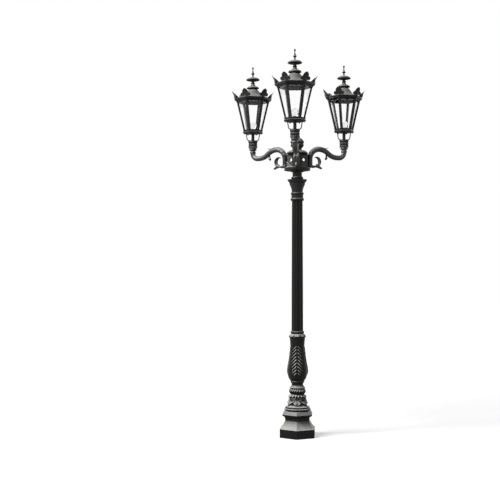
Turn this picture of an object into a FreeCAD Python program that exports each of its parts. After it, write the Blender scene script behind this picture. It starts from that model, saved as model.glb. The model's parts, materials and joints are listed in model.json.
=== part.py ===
"""Triple head lamp post: a cast, fluted garden column that carries three six-sided lanterns.

Millimetres, +Z up. The origin is the centre of the anchor bolt circle on the ground, under the
column's axis. The first arm points to -Y, and the others stand at 120 degrees from it.
The castings are stacked on a steel core pipe and clamped by one nut under the hub's finial.
Each lantern turns on the threaded stem of its arm, and its roof opens on a hinge for a new bulb.
"""
import FreeCAD, Part

import math
import os

from FreeCAD import Vector

# ---- Whole post --------------------------------------------------------------------------------
SEAT_GAP = 0.3                 # between castings that sit on or beside each other
RUNNING_FIT = 0.06             # radial, between a pin or stem and its bore
ARM_AZIMUTHS = {"front": -90.0, "right": 30.0, "left": 150.0}
LANTERN_TURNS = {"front": 4.0, "right": 14.0, "left": 11.0}   # how far each one is screwed round

# ---- Anchor plate, core pipe and terminal block ------------------------------------------------
ANCHOR_PLATE_THICKNESS = 12.0
ANCHOR_CIRCLE = 230.0          # diameter of the bolt circle
ANCHOR_COUNT = 4
ANCHOR_HOLE_RADIUS = 7.0
CABLE_ENTRY_RADIUS = 22.0
CORE_RADIUS = 30.15            # steel tube of 60.3 mm
CORE_WALL = 3.6
CORE_SOCKET_WALL = 11.0
CORE_SOCKET_HEIGHT = 55.0
CABLE_WINDOW_RADIUS = 13.0
CABLE_WINDOW_LEVEL = 120.0
STUD_RADIUS = 10.0
STUD_PLUG_LENGTH = 20.0
NUT_FLATS = 30.0
NUT_HEIGHT = 16.0
NUT_THREAD_GRIP = 12.0         # stud above the nut, for the finial
BLOCK_LENGTH = 84.0
BLOCK_DEPTH = 30.0
BLOCK_HEIGHT = 38.0
BLOCK_POLES = 5
BLOCK_OFFSET = 88.0            # from the column's axis

# ---- Plinth ------------------------------------------------------------------------------------
PLINTH_RADIUS = 186.0          # to a corner of the hexagon
PLINTH_WALL = 9.0
PLINTH_BLOCK_HEIGHT = 84.0
PLINTH_LIP = 4.0               # the block's top edge is chamfered by this much
TALUS_FOOT_RADIUS = 173.0
TALUS_TOP_RADIUS = 131.0
TALUS_HEIGHT = 68.0
TALUS_HOLLOW = 3.0             # how far the slope sags inwards
NECK_RADIUS = 128.0
NECK_HEIGHT = 10.0
CAVETTO_RADIUS = 159.0
CAVETTO_HEIGHT = 40.0
PLINTH_RIM_HEIGHT = 10.0
PLINTH_TOP_RADIUS = 142.0
PLINTH_TOP_HEIGHT = 30.0

# ---- Bell with its leaves, rope ring -----------------------------------------------------------
BELL_FLANGE_RADIUS = 124.0
BELL_FLANGE_HEIGHT = 7.0
BELL_GROOVE_RADIUS = 111.0
BELL_GROOVE_HEIGHT = 6.0
BELL_STEP_RADIUS = 117.0
BELL_STEP_HEIGHT = 15.0
BELL_COVE_HEIGHT = 18.0
BELL_FOOT_RADIUS = 87.0
BELL_SHOULDER_RADIUS = 71.0
BELL_HEIGHT = 88.0
BELL_NECK_RADIUS = 66.0
BELL_NECK_HEIGHT = 18.0
BELL_LEAVES = 6
BELL_LEAF_RELIEF = 6.0
BELL_LEAF_HALF_WIDTH = 38.0
BELL_RIB_RELIEF = 8.5
BELL_RIB_HALF_WIDTH = 3.0
ROPE_FOOT_RADIUS = 62.0
ROPE_RADIUS = 79.0
ROPE_TOP_RADIUS = 73.0
ROPE_HEIGHT = 58.0
ROPE_STRANDS = 20
ROPE_GROOVE = 3.6
ROPE_SLANT = 26.0              # degrees that a strand turns round the ring
CYMA_FOOT_RADIUS = 75.0
CYMA_TOP_RADIUS = 58.0
CYMA_HEIGHT = 20.0
RING_NECK_RADIUS = 54.5
RING_NECK_HEIGHT = 28.0
BEAD_RADIUS = 66.0
BEAD_HEIGHT = 22.0

# ---- Vase --------------------------------------------------------------------------------------
VASE_FOOT_RADIUS = 66.0
VASE_BELLY_RADIUS = 94.0
VASE_LOW_RADIUS = 79.0
VASE_LOW_LEVEL = 19.0
VASE_BELLY_LEVEL = 84.0        # above the vase's foot
VASE_SHOULDER_RADIUS = 80.0
VASE_SHOULDER_LEVEL = 180.0
VASE_WAIST_RADIUS = 67.0
VASE_WAIST_LEVEL = 320.0
VASE_LIP_RADIUS = 75.0
VASE_HEIGHT = 408.0
VASE_WALL = 9.0
FROND_COUNT = 3
FROND_LEAFLETS = 11            # a side
FROND_RELIEF = 4.5
FROND_FOOT = 62.0              # above the vase's foot
FROND_LENGTH = 264.0
FROND_HALF_WIDTH = 56.0
FROND_STEM_HALF_WIDTH = 3.5
LEAFLET_DROOP = 0.55           # fall per millimetre outwards, where a leaflet leaves the stem
LEAFLET_BEND = 0.009           # and how fast that grows
SCALLOP_RADIUS = 81.0
SCALLOP_DEPTH = 4.0
SCALLOP_COUNT = 16
SCALLOP_HEIGHT = 22.0
COLLAR_NECK_RADIUS = 59.0
COLLAR_NECK_HEIGHT = 14.0
COLLAR_RADIUS = 65.5
COLLAR_HEIGHT = 18.0
COLLAR_SOCKET_DEPTH = 14.0

# ---- Fluted shaft ------------------------------------------------------------------------------
SHAFT_FOOT_RADIUS = 55.0
SHAFT_TOP_RADIUS = 50.3
SHAFT_HEIGHT = 1236.0
SHAFT_WALL = 9.0
FLUTE_COUNT = 12
FLUTE_DEPTH = 5.0

# ---- Capital -----------------------------------------------------------------------------------
ASTRAGAL_RADIUS = 64.0
ASTRAGAL_HEIGHT = 24.0
CAPITAL_BAND_RADIUS = 56.0
CAPITAL_BAND_HEIGHT = 34.0
CAPITAL_RING_RADIUS = 62.0
CAPITAL_RING_HEIGHT = 18.0
CAPITAL_THROAT_RADIUS = 53.0
CAPITAL_THROAT_HEIGHT = 26.0
CAPITAL_BELL_RADIUS = 74.0
CAPITAL_BELL_HEIGHT = 55.0
CAPITAL_LEDGE_HEIGHT = 9.0
ABACUS_RADIUS = 91.0
ABACUS_RISE = 24.0
ABACUS_HEIGHT = 9.0
NECKING_RADIUS = 57.0
NECKING_HEIGHT = 26.0
HUB_NECK_RADIUS = 45.0
HUB_NECK_HEIGHT = 44.0

# ---- Hub ---------------------------------------------------------------------------------------
DISH_RADIUS = 123.0
DISH_FOOT_RADIUS = 62.0
DISH_HEIGHT = 42.0
DISH_RIM = 28.0
DISH_EDGE = 4.0
DRUM_RADIUS = 46.0
DRUM_HEIGHT = 130.0
CAP_RADIUS = 100.0
CAP_EDGE = 8.0
CAP_TOP_RADIUS = 46.0
CAP_RISE = 32.0
ARM_SCREW_RADIUS = 4.0
ARM_SCREW_HEAD_RADIUS = 6.5
ARM_SCREW_HEAD_HEIGHT = 5.0
ARM_SCREW_GRIP = 24.0
ARM_SCREW_SEAT = 9.0           # iron of the dish above a screw's head
ARM_SCREW_REACHES = (82.0, 106.0)
FINIAL_FOOT_RADIUS = 41.0
FINIAL_BULGE_RADIUS = 63.0
FINIAL_BULGE_LEVEL = 43.0
FINIAL_NECK_RADIUS = 55.0
FINIAL_NECK_LEVEL = 52.0
FINIAL_RIM_RADIUS = 66.0
FINIAL_RIM_LEVEL = 68.0
FINIAL_HEIGHT = 117.0
FINIAL_WALL = 7.0

# ---- Arms --------------------------------------------------------------------------------------
ARM_REACH = 508.0              # from the column's axis to a lantern's axis
ARM_TUBE_RADIUS = 24.0
ARM_BORE_RADIUS = 8.0          # way for the lamp's leads
STEM_BEND_RADIUS = 58.0
VALLEY_RUN = 20.0              # level, between the bend and the rise to the hump
BEND_DROP = 18.0               # from the cap's underside down to the bend's centre line
HUMP_REACH = 235.0
HUMP_RISE = 71.0
ROOT_REACH = 136.0
ROOT_LIFT = 20.0               # between the dish and the end of the arm's root
WEB_THICKNESS = 30.0
WEB_HOLE_RADIUS = 12.5
WEB_HOLE_REACH = 72.0
WEB_HOLE_LEVEL = 78.0          # above the dish
WEB_BOSS_RADIUS = 20.0
WEB_RELIEF = 4.0               # of the hole's boss and of the ribs
WEB_RIB_FEET = (62.0, 80.0)
WEB_RIB_WIDTH = 7.0
WEB_RIB_RUN = 40.0
WEB_RIB_RISE = 50.0
SCROLL_WIDTH = 53.0
SCROLL_REACH = 209.0           # to the scroll's centre
SCROLL_LEVEL = 62.0            # above the dish
SCROLL_RADIUS = 55.0
SCROLL_ROOM_RADIUS = 36.0      # the space that the crescent curls round
SCROLL_ROOM_SHIFT = (-21.0, 9.0)
SCROLL_GROOVE = 4.0
SPRIG_LENGTH = 18.0            # beyond the scroll
SPRIG_THICKNESS = 16.0
BERRY_RADIUS = 13.0
BERRY_REACH = 313.0
BERRY_DROP = 13.0              # of its centre, below the arm's lowest centre line
BERRY_STALK = 45.0
LEAF_THICKNESS = 6.0
LEAF_HALF_WIDTH = 25.0
LEAF_TIP_DIP = 24.0            # of the leaf's low point below the hump's top, before the tip curls up
STEM_RINGS = ((29.0, 13.0), (24.0, 12.0), (36.5, 16.0), (32.0, 7.0))   # radius and height, going up
SPIGOT_RADIUS = 17.0
SPIGOT_LENGTH = 48.0

# ---- Lantern: fitter, cradle and cage ----------------------------------------------------------
FITTER_RADIUS = 43.0
FITTER_HEIGHT = 76.0
FITTER_RIBS = 16
FITTER_RIB_DEPTH = 2.6
FITTER_LEDGE = 13.0            # plain band at the fitter's top and bottom
FITTER_LEDGE_RADIUS = 46.0
TUBE_RADIUS = 15.0
TUBE_HEIGHT = 65.0
TUBE_FLARE_RADIUS = 35.0
TUBE_FLARE_HEIGHT = 14.0
CRADLE_PLATE = 6.0
CRADLE_ROD_RADIUS = 4.6
CRADLE_FOOT_REACH = 38.0
CRADLE_KNEE_REACH = 57.0
CRADLE_TOP_REACH = 66.0
CRADLE_KNEE_RISE = 20.0
FLOOR_RADIUS = 98.0            # bottom ring, to a corner
FLOOR_HEIGHT = 32.0
FLOOR_THICKNESS = 8.0
FLOOR_WELL_RADIUS = 70.0
FLOOR_BEAD = 5.0
FLOOR_BOSS_RADIUS = 7.0
FLOOR_BOSS_DROP = 6.0
BAR_WIDTH = 23.0
BAR_FACE_DEPTH = 10.0          # outside the glass line
BAR_FOOT_RADIUS = 82.0
BAR_TOP_RADIUS = 146.0
CAGE_HEIGHT = 268.0
PANE_THICKNESS = 3.0
PANE_SIDE_CLEARANCE = 5.0      # from the corner line, so that two panes do not meet
CROWN_RADIUS = 163.0           # top ring, to a corner
CROWN_WELL_RADIUS = 136.0
CROWN_HEIGHT = 14.0

# ---- Lantern: lampholder and bulb --------------------------------------------------------------
HOLDER_RADIUS = 20.0
HOLDER_HEIGHT = 33.0
HOLDER_FLOOR = 4.0
LEAD_HOLE_RADIUS = 6.0
BULB_CAP_RADIUS = 13.0
BULB_CAP_FIT = 0.4
BULB_NECK_RADIUS = 14.5
BULB_RADIUS = 36.0
BULB_LENGTH = 103.0

# ---- Lantern: roof, palmettes, cowl and finial -------------------------------------------------
ROOF_RADIUS = 183.0            # rim, to a corner
ROOF_RIM_HEIGHT = 27.0
ROOF_MOULDING = 6.0
ROOF_WALL = 5.0
DOME_RADIUS = 124.0
DOME_TOP_RADIUS = 33.0
DOME_HEIGHT = 88.0
DOME_SAG = 8.0                 # how far the dome's slope falls inside a straight cone
PALMETTE_FAN_WIDTH = 57.0
PALMETTE_HEIGHT = 68.0
PALMETTE_BASE_WIDTH = 97.0
PALMETTE_THICKNESS = 6.0
PALMETTE_LEAN = 28.0           # how far its tip curves outwards
PALMETTE_INSET = 10.0          # of its foot, from the rim's corner
PALMETTE_SCREW_LEVEL = 8.0     # above the rim
UPSTAND_DEPTH = 13.0
UPSTAND_WIDTH = 18.0
UPSTAND_HEIGHT = 16.0
SCREW_RADIUS = 2.5
SCREW_HEAD_RADIUS = 5.0
SCREW_HEAD_HEIGHT = 3.0
SCREW_LENGTH = 16.0
SCREW_HOLE_CLEARANCE = 0.5
LATCH_GRIP = 8.0               # of the roof's latch screw in the crown
COWL_COLLAR_HEIGHT = 14.0
COWL_RADIUS = 60.0
COWL_EDGE = 4.0
COWL_SKIRT_HEIGHT = 13.0
COWL_NECK_RADIUS = 29.0
COWL_CONE_HEIGHT = 24.0
COWL_KNOB_RADIUS = 17.0
COWL_KNOB_HEIGHT = 18.0
COWL_STALK_RADIUS = 14.0
COWL_STALK_HEIGHT = 4.0
SAUCER_RADIUS = 66.0
SAUCER_FOOT_RADIUS = 17.0
SAUCER_BOWL_HEIGHT = 18.0
SAUCER_RISE = 26.0
SPIRE_NECK_RADIUS = 7.0
SPIRE_NECK_HEIGHT = 20.0
SPIRE_KNOB_RADIUS = 17.0
SPIRE_KNOB_HEIGHT = 22.0
SPIKE_FOOT_RADIUS = 9.0
SPIKE_TOP_RADIUS = 4.0
SPIKE_HEIGHT = 33.0
TIP_BALL_RADIUS = 9.5
TIP_HEIGHT = 7.0
FINIAL_STUD_RADIUS = 5.0
FINIAL_STUD_GRIP = 12.0        # below the dome's top plate
HINGE_PIN_RADIUS = 2.5
HINGE_KNUCKLE_RADIUS = 6.0
HINGE_STANDOFF = 7.0           # from the rim's flat to the pin
HINGE_MIDDLE_LENGTH = 36.0
HINGE_EAR_LENGTH = 14.0
HINGE_PIN_OVERHANG = 3.0

COS30 = math.cos(math.radians(30.0))
TAN30 = math.tan(math.radians(30.0))
HEX_CORNERS = [30.0 + 60.0 * side for side in range(6)]
HEX_SIDES = [60.0 * side for side in range(6)]
AXIS = Vector(0, 0, 1)
CENTRE = Vector(0, 0, 0)

# ---- Levels, worked out from the heights above -------------------------------------------------
PLINTH_TOP = (PLINTH_BLOCK_HEIGHT + TALUS_HEIGHT + NECK_HEIGHT + CAVETTO_HEIGHT
              + PLINTH_RIM_HEIGHT + PLINTH_TOP_HEIGHT)
BELL_FOOT = PLINTH_TOP + SEAT_GAP
BELL_SKIRT = BELL_FOOT + BELL_FLANGE_HEIGHT + BELL_GROOVE_HEIGHT + BELL_STEP_HEIGHT + BELL_COVE_HEIGHT
BELL_TOP = BELL_SKIRT + BELL_HEIGHT + BELL_NECK_HEIGHT
ROPE_FOOT = BELL_TOP + SEAT_GAP
ROPE_TOP = ROPE_FOOT + ROPE_HEIGHT + CYMA_HEIGHT + RING_NECK_HEIGHT + BEAD_HEIGHT
VASE_FOOT = ROPE_TOP + SEAT_GAP
VASE_LIP = VASE_FOOT + VASE_HEIGHT
VASE_TOP = VASE_LIP + SCALLOP_HEIGHT + COLLAR_NECK_HEIGHT + COLLAR_HEIGHT
SHAFT_FOOT = VASE_TOP - COLLAR_SOCKET_DEPTH + SEAT_GAP
SHAFT_TOP = SHAFT_FOOT + SHAFT_HEIGHT
CAPITAL_FOOT = SHAFT_TOP + SEAT_GAP
ABACUS_FOOT = (CAPITAL_FOOT + ASTRAGAL_HEIGHT + CAPITAL_BAND_HEIGHT + CAPITAL_RING_HEIGHT
               + CAPITAL_THROAT_HEIGHT + CAPITAL_BELL_HEIGHT + CAPITAL_LEDGE_HEIGHT)
CAPITAL_TOP = ABACUS_FOOT + ABACUS_RISE + ABACUS_HEIGHT + NECKING_HEIGHT + HUB_NECK_HEIGHT
DISH_FOOT = CAPITAL_TOP + SEAT_GAP
DISH_TOP = DISH_FOOT + DISH_HEIGHT
DRUM_FOOT = DISH_TOP + SEAT_GAP
CAP_FOOT = DRUM_FOOT + DRUM_HEIGHT
CAP_TOP = CAP_FOOT + CAP_EDGE + CAP_RISE
WEB_FOOT = DISH_TOP + SEAT_GAP
WEB_TOP = CAP_FOOT - SEAT_GAP
BEND_LEVEL = CAP_FOOT - BEND_DROP
HUMP_LEVEL = BEND_LEVEL + HUMP_RISE
STEM_TOP = BEND_LEVEL + STEM_BEND_RADIUS
RINGS_TOP = STEM_TOP + sum(height for _, height in STEM_RINGS)
FITTER_FOOT = RINGS_TOP + SEAT_GAP
FITTER_TOP = FITTER_FOOT + FITTER_HEIGHT
TUBE_TOP = FITTER_TOP + TUBE_HEIGHT
FLOOR_FOOT = TUBE_TOP + SEAT_GAP
FLOOR_TOP = FLOOR_FOOT + FLOOR_HEIGHT
CAGE_FOOT = FLOOR_TOP + SEAT_GAP
CAGE_TOP = CAGE_FOOT + CAGE_HEIGHT
CROWN_FOOT = CAGE_TOP + SEAT_GAP
CROWN_TOP = CROWN_FOOT + CROWN_HEIGHT
ROOF_FOOT = CROWN_TOP + SEAT_GAP
RIM_TOP = ROOF_FOOT + ROOF_RIM_HEIGHT
DOME_TOP = RIM_TOP + DOME_HEIGHT
COWL_FOOT = DOME_TOP + SEAT_GAP
COWL_TOP = (COWL_FOOT + COWL_COLLAR_HEIGHT + COWL_EDGE + COWL_SKIRT_HEIGHT + COWL_CONE_HEIGHT
            + COWL_KNOB_HEIGHT + COWL_STALK_HEIGHT)
SAUCER_FOOT = COWL_TOP + SEAT_GAP
HINGE_REACH = ROOF_RADIUS * COS30 + HINGE_STANDOFF
HINGE_LEVEL = CROWN_TOP


# ---- Shape helpers -----------------------------------------------------------------------------
def polar(radius, degrees, z=0.0):
    """The point at that radius and angle round the Z axis."""
    angle = math.radians(degrees)
    return Vector(radius * math.cos(angle), radius * math.sin(angle), z)


def turned_about(shape, degrees):
    """A copy of the shape, turned about the Z axis."""
    copy = shape.copy()
    copy.rotate(CENTRE, AXIS, degrees)
    return copy


def outline(items):
    """Closed wire in the XZ plane. A pair (x, z) is a corner, and a list of pairs a smooth curve."""
    edges = []
    last = None
    first = None
    for item in items:
        run = item if isinstance(item, list) else [item]
        points = [Vector(x, 0, z) for x, z in run]
        if last is not None and points[0].distanceToPoint(last) > 1e-6:
            edges.append(Part.LineSegment(last, points[0]).toShape())
        if len(points) > 1:
            curve = Part.BSplineCurve()
            curve.interpolate(points)
            edges.append(curve.toShape())
        first = first or points[0]
        last = points[-1]
    if last.distanceToPoint(first) > 1e-6:
        edges.append(Part.LineSegment(last, first).toShape())
    return Part.Wire(edges)


def turned(items):
    """Solid of revolution about Z from an outline of (radius, z)."""
    return Part.Face(outline(items)).revolve(CENTRE, AXIS, 360)


def flat_piece(items, thickness):
    """Plate with an outline of (x, z), as thick along Y, with its middle on the XZ plane."""
    face = Part.Face(outline(items))
    face.translate(Vector(0, -thickness / 2, 0))
    return face.extrude(Vector(0, thickness, 0))


def drilled(shape, radius, foot, top):
    """The shape with a round hole along Z from foot to top."""
    return shape.cut(Part.makeCylinder(radius, top - foot, Vector(0, 0, foot)))


def hexagon(radius, z):
    """Six-sided wire with a flat across +X."""
    return Part.makePolygon([polar(radius, corner, z) for corner in HEX_CORNERS + HEX_CORNERS[:1]])


def hex_stack(levels):
    """Solid through hexagons of (z, corner radius), with straight walls between them."""
    return Part.makeLoft([hexagon(radius, z) for z, radius in levels], True, True)


def lobed(count, corner_radius, middle_radius, z, turn=0.0):
    """Closed wire of equal arcs: corners on one radius, and the middle of each arc on the other."""
    pitch = 360.0 / count
    arcs = []
    for lobe in range(count):
        start = turn + lobe * pitch
        arcs.append(Part.Arc(polar(corner_radius, start, z), polar(middle_radius, start + pitch / 2, z),
                             polar(corner_radius, start + pitch, z)).toShape())
    return Part.Wire(arcs)


def lobed_prism(count, corner_radius, middle_radius, foot, height):
    """Upright prism on a lobed outline."""
    return Part.Face(lobed(count, corner_radius, middle_radius, foot)).extrude(Vector(0, 0, height))


def swept(edges, radius):
    """Round bar along a path of tangent runs."""
    path = Part.Wire(edges)
    first = edges[0]
    start = first.valueAt(first.FirstParameter)
    heading = first.tangentAt(first.FirstParameter)
    section = Part.Wire(Part.makeCircle(radius, start, heading))
    return path.makePipeShell([section], True, False)


def arc_in_xz(centre_x, centre_z, radius, start, end):
    """Arc in the XZ plane, by angles in degrees from +X towards +Z."""
    def point(degrees):
        angle = math.radians(degrees)
        return Vector(centre_x + radius * math.cos(angle), 0, centre_z + radius * math.sin(angle))
    return Part.Arc(point(start), point((start + end) / 2), point(end)).toShape()


def line_in_xz(start, end):
    """Straight edge between two (x, z) points."""
    return Part.LineSegment(Vector(start[0], 0, start[1]), Vector(end[0], 0, end[1])).toShape()


def fused(shapes):
    """One solid from several that overlap, with seams taken out where that is safe."""
    whole = shapes[0].fuse(shapes[1:]) if len(shapes) > 1 else shapes[0]
    tidy = whole.removeSplitter()
    return tidy if tidy.isValid() and len(tidy.Solids) == len(whole.Solids) else whole


def raised(skin, face_outline, angle):
    """The part of a thin turned skin that lies behind an outline of (across, z), at an angle."""
    reach = skin.BoundBox.XMax + 10.0
    cutter = Part.Face(face_outline).extrude(Vector(reach, 0, 0))
    return turned_about(cutter, angle).common(skin)


def across(items):
    """Closed wire in the YZ plane from the same items as outline takes."""
    wire = outline(items)
    wire.rotate(CENTRE, AXIS, 90)
    return wire


# ---- Foot of the post --------------------------------------------------------------------------
def make_anchor_plate():
    """Hexagonal ground plate inside the plinth, with the core pipe's socket and the bolt holes."""
    corner = PLINTH_RADIUS - (PLINTH_WALL + SEAT_GAP) / COS30
    plate = hex_stack([(0.0, corner), (ANCHOR_PLATE_THICKNESS, corner)])
    socket = Part.makeCylinder(CORE_RADIUS + CORE_SOCKET_WALL, ANCHOR_PLATE_THICKNESS + CORE_SOCKET_HEIGHT)
    body = fused([plate, socket])
    body = drilled(body, CABLE_ENTRY_RADIUS, -1.0, ANCHOR_PLATE_THICKNESS + 1.0)
    body = drilled(body, CORE_RADIUS + RUNNING_FIT, ANCHOR_PLATE_THICKNESS,
                   ANCHOR_PLATE_THICKNESS + CORE_SOCKET_HEIGHT + 1.0)
    for bolt in range(ANCHOR_COUNT):
        spot = polar(ANCHOR_CIRCLE / 2, 45.0 + bolt * 360.0 / ANCHOR_COUNT, -1.0)
        body = body.cut(Part.makeCylinder(ANCHOR_HOLE_RADIUS, ANCHOR_PLATE_THICKNESS + 2.0, spot))
    return body


def make_core_pipe():
    """Steel pipe through all the castings, with a plug and threaded stud at its top."""
    foot = ANCHOR_PLATE_THICKNESS
    top = CAP_FOOT
    inner = CORE_RADIUS - CORE_WALL
    stud_top = CAP_TOP + NUT_HEIGHT + NUT_THREAD_GRIP
    pipe = turned([(inner, foot), (CORE_RADIUS, foot), (CORE_RADIUS, top), (STUD_RADIUS, top),
                   (STUD_RADIUS, stud_top), (0, stud_top), (0, top - STUD_PLUG_LENGTH),
                   (inner, top - STUD_PLUG_LENGTH)])
    window = Part.makeCylinder(CABLE_WINDOW_RADIUS, CORE_RADIUS + 5.0,
                               Vector(0, 0, CABLE_WINDOW_LEVEL), Vector(0, 1, 0))
    pipe = pipe.cut(window)
    for azimuth in ARM_AZIMUTHS.values():
        pipe = pipe.cut(lead_hole(azimuth, CORE_RADIUS + 5.0))
    return pipe


def lead_hole(azimuth, reach):
    """Cutter from the axis outwards, for the leads of one arm."""
    return Part.makeCylinder(ARM_BORE_RADIUS, reach, Vector(0, 0, WEB_FOOT + ROOT_LIFT + 2 * ARM_BORE_RADIUS),
                             polar(1.0, azimuth))


def make_terminal_block():
    """Plastic terminal block that stands on the anchor plate, with a pair of screw wells per pole."""
    foot = ANCHOR_PLATE_THICKNESS + SEAT_GAP
    block = Part.makeBox(BLOCK_LENGTH, BLOCK_DEPTH, BLOCK_HEIGHT,
                         Vector(-BLOCK_LENGTH / 2, BLOCK_OFFSET - BLOCK_DEPTH / 2, foot))
    pitch = BLOCK_LENGTH / BLOCK_POLES
    for pole in range(BLOCK_POLES):
        x = -BLOCK_LENGTH / 2 + (pole + 0.5) * pitch
        for side in (-1, 1):
            spot = Vector(x, BLOCK_OFFSET + side * BLOCK_DEPTH / 4, foot + BLOCK_HEIGHT - 12.0)
            block = block.cut(Part.makeCylinder(pitch / 4, 13.0, spot))
    return block


def plinth_levels(inset):
    """Hexagons up the plinth, drawn in by an inset from the outer faces."""
    shrink = inset / COS30
    level = PLINTH_BLOCK_HEIGHT - PLINTH_LIP
    levels = [(0.0, PLINTH_RADIUS), (level, PLINTH_RADIUS), (PLINTH_BLOCK_HEIGHT, PLINTH_RADIUS - PLINTH_LIP)]
    for share in (0.0, 0.35, 0.7, 1.0):
        straight = TALUS_FOOT_RADIUS + share * (TALUS_TOP_RADIUS - TALUS_FOOT_RADIUS)
        radius = straight - 4 * TALUS_HOLLOW * share * (1 - share)
        levels.append((PLINTH_BLOCK_HEIGHT + 4.0 + share * (TALUS_HEIGHT - 4.0), radius))
    neck = PLINTH_BLOCK_HEIGHT + TALUS_HEIGHT + NECK_HEIGHT
    levels.append((neck, NECK_RADIUS))
    for share in (0.45, 0.8, 1.0):
        flare = 1.0 - math.sqrt(1.0 - share * share)
        levels.append((neck + share * CAVETTO_HEIGHT,
                       NECK_RADIUS + flare * (CAVETTO_RADIUS - NECK_RADIUS)))
    rim = neck + CAVETTO_HEIGHT + PLINTH_RIM_HEIGHT
    levels.append((rim, CAVETTO_RADIUS))
    levels.append((PLINTH_TOP, PLINTH_TOP_RADIUS))
    return [(z, radius - shrink) for z, radius in levels]


def make_plinth():
    """Hollow hexagonal plinth: block, hollowed slope, neck and flared cavetto rim."""
    shell = hex_stack(plinth_levels(0.0))
    room = [(z, radius) for z, radius in plinth_levels(PLINTH_WALL) if z < PLINTH_TOP - PLINTH_WALL - 1.0]
    room[0] = (-1.0, room[0][1])
    room.append((PLINTH_TOP - PLINTH_WALL, PLINTH_TOP_RADIUS - PLINTH_WALL / COS30))
    shell = shell.cut(hex_stack(room))
    return drilled(shell, CORE_RADIUS + SEAT_GAP, PLINTH_TOP - PLINTH_WALL - 1.0, PLINTH_TOP + 1.0)


# ---- Bell, rope ring and vase ------------------------------------------------------------------
def bell_curve(offset):
    """The bell's side from skirt to neck, moved outwards by an offset."""
    middle = (BELL_FOOT_RADIUS + BELL_SHOULDER_RADIUS) / 2 + 2.0
    return [(BELL_FOOT_RADIUS + offset, BELL_SKIRT), (middle + offset, BELL_SKIRT + 0.6 * BELL_HEIGHT),
            (BELL_SHOULDER_RADIUS + offset, BELL_SKIRT + BELL_HEIGHT)]


def leaf_outline(foot, top, half_width):
    """Hanging acanthus leaf: a broad rounded lobe at its tip, and two pairs of side lobes above it."""
    side = [(0.0, 0.0), (0.5, 0.02), (0.88, 0.1), (1.0, 0.22), (0.86, 0.34), (0.6, 0.43), (0.78, 0.5),
            (1.0, 0.58), (0.9, 0.66), (0.72, 0.71), (0.9, 0.77), (1.0, 0.87), (0.9, 1.0)]
    right = [(share * half_width, foot + level * (top - foot)) for share, level in side]
    left = [(-x, z) for x, z in reversed(right)]
    return across([right, left])


def make_bell():
    """Turned bell on a grooved flange, wrapped in a row of hanging leaves with their ribs."""
    groove = BELL_FOOT + BELL_FLANGE_HEIGHT
    step = groove + BELL_GROOVE_HEIGHT
    cove = step + BELL_STEP_HEIGHT
    bore = CORE_RADIUS + SEAT_GAP
    body = turned([(bore, BELL_FOOT), (BELL_FLANGE_RADIUS, BELL_FOOT), (BELL_FLANGE_RADIUS, groove - 1.5),
                   (BELL_FLANGE_RADIUS - 1.5, groove),
                   (BELL_GROOVE_RADIUS, groove), (BELL_GROOVE_RADIUS, step),
                   (BELL_STEP_RADIUS, step), (BELL_STEP_RADIUS, cove - 2.0), (BELL_STEP_RADIUS - 2.0, cove),
                   [(BELL_STEP_RADIUS - 4.0, cove),
                    (BELL_FOOT_RADIUS + 10.0, cove + 0.6 * BELL_COVE_HEIGHT), (BELL_FOOT_RADIUS, BELL_SKIRT)],
                   bell_curve(0.0),
                   [(BELL_SHOULDER_RADIUS, BELL_SKIRT + BELL_HEIGHT),
                    (BELL_NECK_RADIUS - 4.0, BELL_TOP - 0.5 * BELL_NECK_HEIGHT),
                    (BELL_NECK_RADIUS, BELL_TOP)],
                   (bore, BELL_TOP)])
    leaf_foot = BELL_SKIRT + 2.0
    leaf_top = BELL_SKIRT + BELL_HEIGHT - 1.0
    leaf = leaf_outline(leaf_foot, leaf_top, BELL_LEAF_HALF_WIDTH)
    rib = across([(-BELL_RIB_HALF_WIDTH, leaf_foot + 6.0), (BELL_RIB_HALF_WIDTH, leaf_foot + 6.0),
                  (2 * BELL_RIB_HALF_WIDTH, leaf_top), (-2 * BELL_RIB_HALF_WIDTH, leaf_top)])
    pieces = [body]
    for relief, raised_outline in ((BELL_LEAF_RELIEF, leaf), (BELL_RIB_RELIEF, rib)):
        skin = turned([bell_curve(relief), bell_curve(-1.0)[::-1]])
        for number in range(BELL_LEAVES):
            pieces.append(raised(skin, raised_outline, -90.0 + number * 360.0 / BELL_LEAVES))
    return fused(pieces)


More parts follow.
